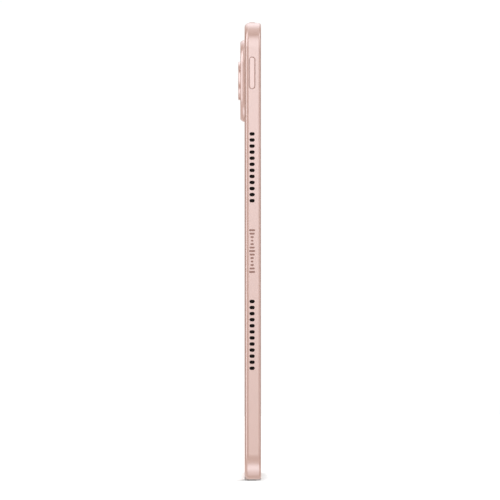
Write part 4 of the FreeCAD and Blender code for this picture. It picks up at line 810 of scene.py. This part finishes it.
def make_camera_window(clear, ink):
    """The window, and the black ring printed on its underside."""
    low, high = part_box("camera_window")
    radius = (high.x - low.x) / 2
    print_back = low.y + PRINT_THICKNESS
    edge = slab_profile(print_back, high.y, 0.0, WINDOW_EDGE, RIM_STEPS)
    glass = [(radius - inset, level) for inset, level in edge]
    window = new_object("lens_window", [round_rings(FRONT, lens_axis(), glass, OUTLINE_STEPS)])
    add_piece(window, clear, instead=["camera_window"])
    outer = radius - WINDOW_GAP
    near, far = low.y + WINDOW_GAP, print_back - WINDOW_GAP
    ring = [(PUPIL_OPENING, near), (outer, near), (outer, far), (PUPIL_OPENING, far)]
    mask = new_object("lens_mask", [round_rings(FRONT, lens_axis(), ring, OUTLINE_STEPS)], closed=True)
    add_piece(mask, ink)


def make_flash(look):
    """The flash's lens, with fine stepped rings."""
    low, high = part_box("flash_lens")
    outer = (high.x - low.x) / 2
    at = ((low.x + high.x) / 2, (low.z + high.z) / 2)
    profile = [(outer, low.y), (outer, high.y - FINE_EDGE), (outer - FINE_EDGE, high.y)]
    radius = outer - FLASH_RIM
    pitch = radius / FLASH_RINGS
    for _ in range(FLASH_RINGS - 1):
        profile.append((radius, high.y))
        profile.append((radius - pitch * FLASH_STEP, high.y - FLASH_GROOVE))
        radius -= pitch
    profile.append((radius, high.y))
    flash = new_object("flash_cover", [round_rings(FRONT, at, profile, OUTLINE_STEPS)])
    add_piece(flash, look, instead=["flash_lens"])


# ---- edges ----


def button_solids(plane, centre, size, outer, edge):
    """A crowned button with round ends, and the collar behind the wall that keeps it in."""
    inward = 1 if edge > outer else -1
    profile = [(inset, outer + inward * depth) for inset, depth in rounding(BUTTON_CROWN, CROWN_STEPS)]
    profile += [
        (0, edge + inward * COLLAR_START),
        (-COLLAR_OVERHANG, edge + inward * COLLAR_START),
        (-COLLAR_OVERHANG, edge + inward * COLLAR_END),
    ]
    return rings(plane, centre, size, min(size) / 2, profile, OUTLINE_STEPS // 2)


def foot(plane, centre, start, end):
    """The round foot that presses a switch."""
    return round_rings(plane, centre, [(FOOT_RADIUS, start), (FOOT_RADIUS, end)])


def make_power_key(look):
    """The power key, with the foot that presses its switch."""
    low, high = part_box("power_button")
    at = (EDGE_LINE, (low.z + high.z) / 2)
    key = new_object("power_key", [button_solids(SIDE, at, (BUTTON_WIDTH, POWER_LENGTH), low.x, LOW.x)])
    carve(key, [foot(SIDE, at, LOW.x + COLLAR_START, high.x)], "UNION")
    add_piece(key, look, body="power_button", instead=["power_button"])


def make_volume_key(look):
    """The volume rocker, with a foot over each switch and the web and pin it tilts on."""
    low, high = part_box("volume_rocker")
    x = (low.x + high.x) / 2
    size = (ROCKER_LENGTH, BUTTON_WIDTH)
    key = new_object("volume_key", [button_solids(TOP, (x, EDGE_LINE), size, high.z, HIGH.z)])
    collar, foot_end = HIGH.z - COLLAR_START, HIGH.z - COLLAR_END - FOOT_LENGTH
    joined = [foot(TOP, (x + side * SWITCH_OFFSET, EDGE_LINE), collar, foot_end) for side in (-1, 1)]
    pivot = low.z + PIVOT_RADIUS
    web_levels = [(0, collar), (0, pivot)]
    joined.append(rings(TOP, (x, EDGE_LINE), (2 * PIVOT_RADIUS, BUTTON_WIDTH), WELD, web_levels))
    pin_levels = [(PIVOT_RADIUS, EDGE_LINE + side * BUTTON_WIDTH / 2) for side in (-1, 1)]
    joined.append(round_rings(FRONT, (x, pivot), pin_levels))
    for solid in joined:
        carve(key, [solid], "UNION")
    add_piece(key, look, body="volume_rocker", instead=["volume_rocker"])


def make_tray(look):
    """The memory card tray: its cap, with the eject hole, and the plate with the card's pocket."""
    low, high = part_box("card_tray")
    x = (low.x + high.x) / 2
    cap_size = (high.x - low.x, high.y - low.y)
    cap = slab_profile(high.z - CAP_DEPTH, high.z, 0.0, TRAY_EDGE, FINE_STEPS)
    tray = new_object("tray", [rings(TOP, (x, EDGE_LINE), cap_size, cap_size[1] / 2, cap)])
    plate_x = x + PLATE_SHIFT
    front, back = EDGE_LINE - PLATE_THICKNESS / 2, EDGE_LINE + PLATE_THICKNESS / 2
    top = high.z - CAP_DEPTH + TRAY_EDGE
    plate_size = (PLATE_WIDTH, top - low.z)
    plate = slab_profile(front, back, TRAY_EDGE, TRAY_EDGE, FINE_STEPS)
    carve(tray, [rings(FRONT, (plate_x, (top + low.z) / 2), plate_size, PLATE_CORNER, plate)], "UNION")
    card_at = (plate_x, high.z - CAP_DEPTH - CARD_MARGIN - CARD_SIZE[1] / 2)
    card = [(0, front - OVERLAP), (0, front + CARD_DEPTH)]
    eject_at = (x + EJECT_SHIFT, EDGE_LINE)
    through = high.z - CAP_DEPTH - OVERLAP
    eject = hole(TOP, eject_at, (EJECT_HOLE, EJECT_HOLE), high.z, through, TRAY_EDGE)
    carve(tray, [rings(FRONT, card_at, CARD_SIZE, CARD_MARGIN, card), eject])
    add_piece(tray, look, body="card_tray", instead=["card_tray"])


def make_port(shell_look, tongue_look):
    """The USB-C port: a seamless shell with a rolled mouth, its base and its contact tongue."""
    low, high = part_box("usb_shell")
    at = (EDGE_LINE, (low.z + high.z) / 2)
    size = (high.y - low.y, high.z - low.z)
    rim = rounding(PORT_WALL / 2, RIM_STEPS)
    outer = [(inset, high.x - depth) for inset, depth in rim[::-1]]
    inner = [(PORT_WALL - inset, high.x - depth) for inset, depth in rim]
    profile = [(0, low.x)] + outer + inner + [(PORT_WALL, low.x)]
    shell = new_object("port_shell", [rings(SIDE, at, size, size[0] / 2, profile)], closed=True)
    add_piece(shell, shell_look, instead=["usb_shell"])
    low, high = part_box("usb_tongue")
    base_size = (high.y - low.y, high.z - low.z)
    base = slab_profile(low.x, low.x + PORT_BASE, 0.0, FINE_EDGE, FINE_STEPS)
    tongue = new_object("port_tongue", [rings(SIDE, at, base_size, base_size[0] / 2, base)])
    blade = slab_profile(low.x + PORT_BASE / 2, high.x, 0.0, TONGUE_EDGE, RIM_STEPS)
    carve(tongue, [rings(SIDE, at, TONGUE_SIZE, TONGUE_CORNER, blade)], "UNION")
    add_piece(tongue, tongue_look, instead=["usb_tongue"])


def make_keyboard_contacts(insert_look, pin_look):
    """Three domed pins in a flush insert."""
    low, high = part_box("contact_block")
    size = (high.x - low.x, high.y - low.y)
    pins_low, pins_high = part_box("keyboard_contacts")
    width = pins_high.y - pins_low.y
    pitch = (pins_high.x - pins_low.x - width) / 2
    body = slab_profile(low.z, high.z, FINE_EDGE, 0.0, FINE_STEPS)
    insert = new_object("keyboard_insert", [rings(TOP, (0, 0), size, size[1] / 2, body)])
    spots = [(pitch * number, 0) for number in (-1, 0, 1)]
    through = [(width / 2, low.z - OVERLAP), (width / 2, high.z + OVERLAP)]
    carve(insert, [round_rings(TOP, at, through) for at in spots])
    add_piece(insert, insert_look, instead=["contact_block"])
    profile = slab_profile(low.z, pins_high.z, width * PIN_EDGE, 0.0, RIM_STEPS)
    domed = [(width / 2 - inset, level) for inset, level in profile]
    pins = new_object("keyboard_pins", [round_rings(TOP, at, domed) for at in spots])
    add_piece(pins, pin_look, instead=["keyboard_contacts"])


# ---- inside ----


def dress_inside():
    """Materials for the CAD nodes that stay as they are."""
    looks = {
        "amber": flexible_circuit("amber_flex", (0.50, 0.24, 0.05)),
        "board": circuit_board("circuit_board", (0.012, 0.055, 0.035)),
        "black": moulded_plastic("inner_black", (0.022, 0.022, 0.024)),
        "chip": moulded_plastic("chip_epoxy", (0.04, 0.04, 0.043), roughness=0.4),
        "dark": plated_metal("blackened_steel", (0.05, 0.05, 0.055), roughness=0.45),
        "steel": plated_metal("sheet_steel", (0.60, 0.60, 0.61), roughness=0.32),
        "bright": plated_metal("nickel_steel", (0.72, 0.70, 0.68), roughness=0.2),
        "gold": plated_metal("gold_plate", (0.90, 0.66, 0.30), roughness=0.18),
        "foil": foil("battery_foil", (0.16, 0.16, 0.17), roughness=0.35, metallic=0.8),
        "graphite": foil("graphite_film", (0.07, 0.07, 0.075), roughness=0.5, metallic=0.5),
        "film": foil("optical_film", (0.82, 0.83, 0.85), roughness=0.25, metallic=0.0),
        "silver": foil("silver_film", (0.85, 0.86, 0.87), roughness=0.12, metallic=0.9),
        "panel": foil("panel_film", (0.010, 0.010, 0.012), roughness=0.15, metallic=0.0),
        "tape": foil("pull_tape", (0.75, 0.75, 0.74), roughness=0.4, metallic=0.0),
        "lamp": moulded_plastic("lamp_phosphor", (0.85, 0.70, 0.20), roughness=0.4),
        "mesh": woven_mesh("acoustic_mesh", (0.030, 0.029, 0.028), pitch=0.16 * MM),
    }
    nodes = {
        "amber": ["display_flex", "rear_camera_flex", "button_flex", "link_flex", "wifi_antennas"],
        "board": ["rear_camera_board", "battery_board", "main_board", "usb_board"],
        "black": [f"speaker_{name}" for name in SPEAKERS],
        "chip": ["board_chips", "board_connectors", "light_sensor"],
        "dark": ["rear_camera_housing", "front_camera_housing"],
        "steel": ["backlight_tray", "power_switch", "power_bracket", "volume_switches", "volume_bracket"],
        "bright": [
            "microphones",
            "board_shields",
            "board_screws",
            "speaker_screws",
            "card_socket",
            "eject_rod",
        ],
        "gold": ["usb_contacts"],
        "foil": ["battery_cell_left", "battery_cell_right"],
        "graphite": ["graphite_sheet"],
        "film": ["diffuser_sheets", "light_guide"],
        "silver": ["reflector_sheet"],
        "panel": ["lcd_panel"],
        "tape": ["battery_tapes"],
        "lamp": ["backlight_leds", "flash_led"],
        "mesh": [f"speaker_mesh_{name}" for name in SPEAKERS],
    }
    for look, names in nodes.items():
        for name in names:
            for material_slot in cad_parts[name].material_slots:
                material_slot.material = looks[look]
    return looks


# ---- stage ----

CAMERA_LENS = 1500.0
SENSOR = 36.0
CLIP_START, CLIP_END = 0.1, 20.0
FRAME_HEIGHT = 198.35 * MM  # the view's height at the near edge
AIM_ACROSS = 1.09 * MM
AIM_HEIGHT = 90.93 * MM

# How bright the studio looks in reflections. Heights are sines of the angle above the horizon;
# turns are cosines of the angle round from the camera's side.
FRONT_HEIGHTS = [
    (-1.0, 0.93),
    (-0.87, 1.34),
    (-0.76, 1.00),
    (-0.66, 0.82),
    (-0.54, 0.74),
    (-0.40, 0.78),
    (-0.10, 0.84),
    (0.20, 1.29),
    (0.60, 1.33),
    (0.76, 1.29),
    (0.85, 1.03),
    (0.89, 0.50),
    (0.93, 0.88),
    (1.0, 0.82),
]
BACK_HEIGHTS = [
    (-1.0, 0.93),
    (-0.90, 0.86),
    (-0.84, 0.76),
    (-0.80, 0.36),
    (-0.76, 0.70),
    (-0.50, 0.80),
    (-0.30, 0.82),
    (0.0, 0.85),
    (0.30, 0.95),
    (0.64, 1.45),
    (0.88, 1.20),
    (1.0, 0.82),
]
TURNS = [
    (-1.0, 1.0),
    (-0.60, 0.52),
    (-0.20, 0.38),
    (0.25, 1.46),
    (0.60, 0.68),
    (0.90, 0.55),
    (1.0, 0.78),
]
FACING_BLEND = 0.5  # the turn either side of the middle over which the front's heights take over
TURN_FADE_BELOW = (-0.30, -0.08)  # the heights over which the turns' part comes in from below
TURN_FADE_ABOVE = (1.0, 0.80)  # and from above
SCREEN_SIDE = 0.82  # brightness towards the screen's side
DIM, DIM_COLOR = 0.50, (1.0, 0.74, 0.60)
LIT, LIT_COLOR = 1.12, (1.0, 1.05, 1.11)
WHITE = (1.0, 1.0, 1.0, 1.0)
FILL = 0.2  # what lights the floor from all round
BACKDROP = 1.02  # what the camera sees past the floor

FLOOR_SIZE = 6.0
FLOOR_COLOR = (0.93, 0.93, 0.925)
FLOOR_ROUGHNESS = 0.85
FLOOR_BLOTCHES, FLOOR_TONE = 0.4, 0.004

CARD_DISTANCE = 0.55
CARD_WIDTH = 0.24
CARD_BOTTOM, CARD_TOP = -0.06, 0.80
CARD_LOW, CARD_LOW_COLOR = 5.0 * MM, (0.885, 0.855, 0.835)
CARD_HIGH, CARD_HIGH_COLOR = 155.0 * MM, (1.16, 1.225, 1.29)
CARD_STRENGTH = 1.2

SUN_HEIGHT = math.radians(73)
SUN_SPREAD = math.radians(3)
SUN_STRENGTH = 4.0


def make_floor():
    """A wide sheet of pale paper."""
    bpy.ops.mesh.primitive_plane_add(size=FLOOR_SIZE)
    floor = bpy.context.object
    floor.name = "floor"
    look = Look("floor_paper", FLOOR_COLOR, FLOOR_ROUGHNESS)
    look.vary(look.noise(FLOOR_BLOTCHES), FLOOR_TONE)
    floor.data.materials.append(look.material)
    floor.visible_glossy = False


class Studio(Nodes):
    """The world's nodes."""

    def __init__(self):
        world = bpy.data.worlds.new("studio")
        world.use_nodes = True
        world.cycles.sampling_method = "NONE"
        bpy.context.scene.world = world
        super().__init__(world.node_tree)
        self.tree.nodes.clear()

    def curve(self, value, pairs):
        """A smooth curve through pairs whose first number runs from -1 to 1."""
        brightest = max(level for _, level in pairs)
        made = self.add("ShaderNodeFloatCurve")
        points = made.mapping.curves[0].points
        while len(points) < len(pairs):
            points.new(0.5, 0.5)
        for point, (at, level) in zip(points, pairs):
            point.location = ((at + 1) / 2, level / brightest)
            point.handle_type = "AUTO_CLAMPED"
        made.mapping.update()
        self.feed(self.range(value, -1.0, 1.0), made.inputs["Value"])
        return self.math("MULTIPLY", made.outputs["Value"], brightest)

    def blend(self, factor, first, second):
        """Goes from the first value to the second as the factor goes from 0 to 1."""
        return self.math("ADD", first, self.math("MULTIPLY", factor, self.math("SUBTRACT", second, first)))

    def light(self, color, strength):
        made = self.add("ShaderNodeBackground")
        self.feed(color, made.inputs["Color"])
        self.feed(strength, made.inputs["Strength"])
        return made.outputs[0]


def studio_brightness(studio):
    """How bright the studio is in each direction, as a reflection sees it."""
    place = studio.add("ShaderNodeTexCoord")
    x, y, z = studio.axes(place.outputs["Generated"])
    squares = [studio.math("MULTIPLY", part, part) for part in (x, y)]
    level = studio.math("SQRT", studio.math("ADD", *squares))
    turn = studio.math("DIVIDE", studio.math("MULTIPLY", x, -1.0), studio.math("MAXIMUM", level, WELD))
    facing = studio.range(turn, -FACING_BLEND, FACING_BLEND)
    by_height = studio.blend(facing, studio.curve(z, BACK_HEIGHTS), studio.curve(z, FRONT_HEIGHTS))
    below = studio.range(z, *TURN_FADE_BELOW)
    above = studio.range(z, *TURN_FADE_ABOVE)
    by_turn = studio.blend(studio.math("MINIMUM", below, above), 1.0, studio.curve(turn, TURNS))
    by_side = studio.range(y, -1.0, 0.0, SCREEN_SIDE, 1.0)
    return studio.math("MULTIPLY", studio.math("MULTIPLY", by_height, by_turn), by_side)


def make_studio():
    """A white room: even for the eye and the floor, banded and warmer in the shade for the metal."""
    studio = Studio()
    brightness = studio_brightness(studio)
    warmth = studio.mix(studio.range(brightness, DIM, LIT), DIM_COLOR, LIT_COLOR)
    path = studio.add("ShaderNodeLightPath")
    seen = studio.range(path.outputs["Is Camera Ray"], 0.0, 1.0, FILL, BACKDROP)
    mix = studio.add("ShaderNodeMixShader")
    parts = (path.outputs["Is Glossy Ray"], studio.light(WHITE, seen), studio.light(warmth, brightness))
    for source, socket in zip(parts, mix.inputs):
        studio.feed(source, socket)
    output = studio.add("ShaderNodeOutputWorld")
    studio.feed(mix.outputs[0], output.inputs["Surface"])


def make_card():
    """A light panel in front of the short edge, brighter upwards, for reflections only."""
    x = LOW.x - CARD_DISTANCE
    half = CARD_WIDTH / 2
    corners = [(x, -half, CARD_BOTTOM), (x, half, CARD_BOTTOM), (x, half, CARD_TOP), (x, -half, CARD_TOP)]
    mesh = bpy.data.meshes.new("light_card")
    mesh.from_pydata(corners, [], [(0, 1, 2, 3)])
    look = Look("light_card", CARD_LOW_COLOR, roughness=1.0)
    height = look.range(look.axes(look.place)["Z"], CARD_LOW, CARD_HIGH)
    emission = look.add("ShaderNodeEmission")
    look.feed(CARD_STRENGTH, emission.inputs["Strength"])
    look.feed(look.mix(height, CARD_LOW_COLOR, CARD_HIGH_COLOR), emission.inputs["Color"])
    look.feed(emission.outputs[0], look.tree.nodes["Material Output"].inputs["Surface"])
    mesh.materials.append(look.material)
    card = bpy.data.objects.new("light_card", mesh)
    bpy.context.scene.collection.objects.link(card)
    card.visible_camera = False
    card.visible_diffuse = False
    card.visible_shadow = False
    card.visible_transmission = False


def make_sun():
    """High behind the tablet, so its soft shadow falls towards the camera."""
    light = bpy.data.lights.new("sun", "SUN")
    light.energy = SUN_STRENGTH
    light.angle = SUN_SPREAD
    sun = bpy.data.objects.new("sun", light)
    way = Vector((math.cos(SUN_HEIGHT), 0, math.sin(SUN_HEIGHT)))
    sun.rotation_mode = "QUATERNION"
    sun.rotation_quaternion = way.to_track_quat("Z", "Y")
    sun.visible_glossy = False
    bpy.context.scene.collection.objects.link(sun)


def make_camera():
    """Level with the middle of the tablet, looking along its long side at the left-hand edge."""
    data = bpy.data.cameras.new("camera")
    data.lens = CAMERA_LENS
    data.sensor_width = SENSOR
    data.clip_start = CLIP_START
    data.clip_end = CLIP_END
    camera = bpy.data.objects.new("camera", data)
    distance = FRAME_HEIGHT * CAMERA_LENS / SENSOR
    camera.location = (LOW.x + CORNER_RADIUS - distance, AIM_ACROSS, AIM_HEIGHT)
    camera.rotation_mode = "QUATERNION"
    camera.rotation_quaternion = Vector((1, 0, 0)).to_track_quat("-Z", "Y")
    bpy.context.scene.collection.objects.link(camera)
    bpy.context.scene.camera = camera
    bpy.context.scene.view_settings.view_transform = "Standard"


def main():
    make_camera()
    make_studio()
    make_card()
    make_sun()
    make_floor()
    inner = dress_inside()
    satin = anodised_aluminium()
    bright = polished_aluminium()
    window_glass = clear_glass("window_glass", (0.95, 0.96, 0.97))
    black = moulded_plastic("bezel_black", (0.012, 0.012, 0.013), roughness=0.45)
    lens_black = moulded_plastic("lens_black", (0.006, 0.006, 0.007), roughness=0.55, gloss=0.1)
    lens = coated_lens("lens_coating", (0.42, 0.40, 1.0))
    make_housing(satin)
    make_edge_mark(printed_ink())
    make_bezel(black)
    make_screen(black_glass(), window_glass)
    make_island(satin)
    make_ring(turned_aluminium(middle("camera_ring")))
    make_camera_window(window_glass, lens_black)
    make_lens("main_lens", "rear_camera_lens", TO_BACK, lens_black, lens, "autofocus_barrel")
    make_lens("selfie_lens", "front_camera_lens", TO_SCREEN, lens_black, lens)
    make_flash(frosted_lens(middle("flash_lens")))
    make_power_key(bright)
    make_volume_key(bright)
    make_tray(satin)
    make_port(inner["bright"], inner["black"])
    make_keyboard_contacts(inner["black"], inner["gold"])


main()
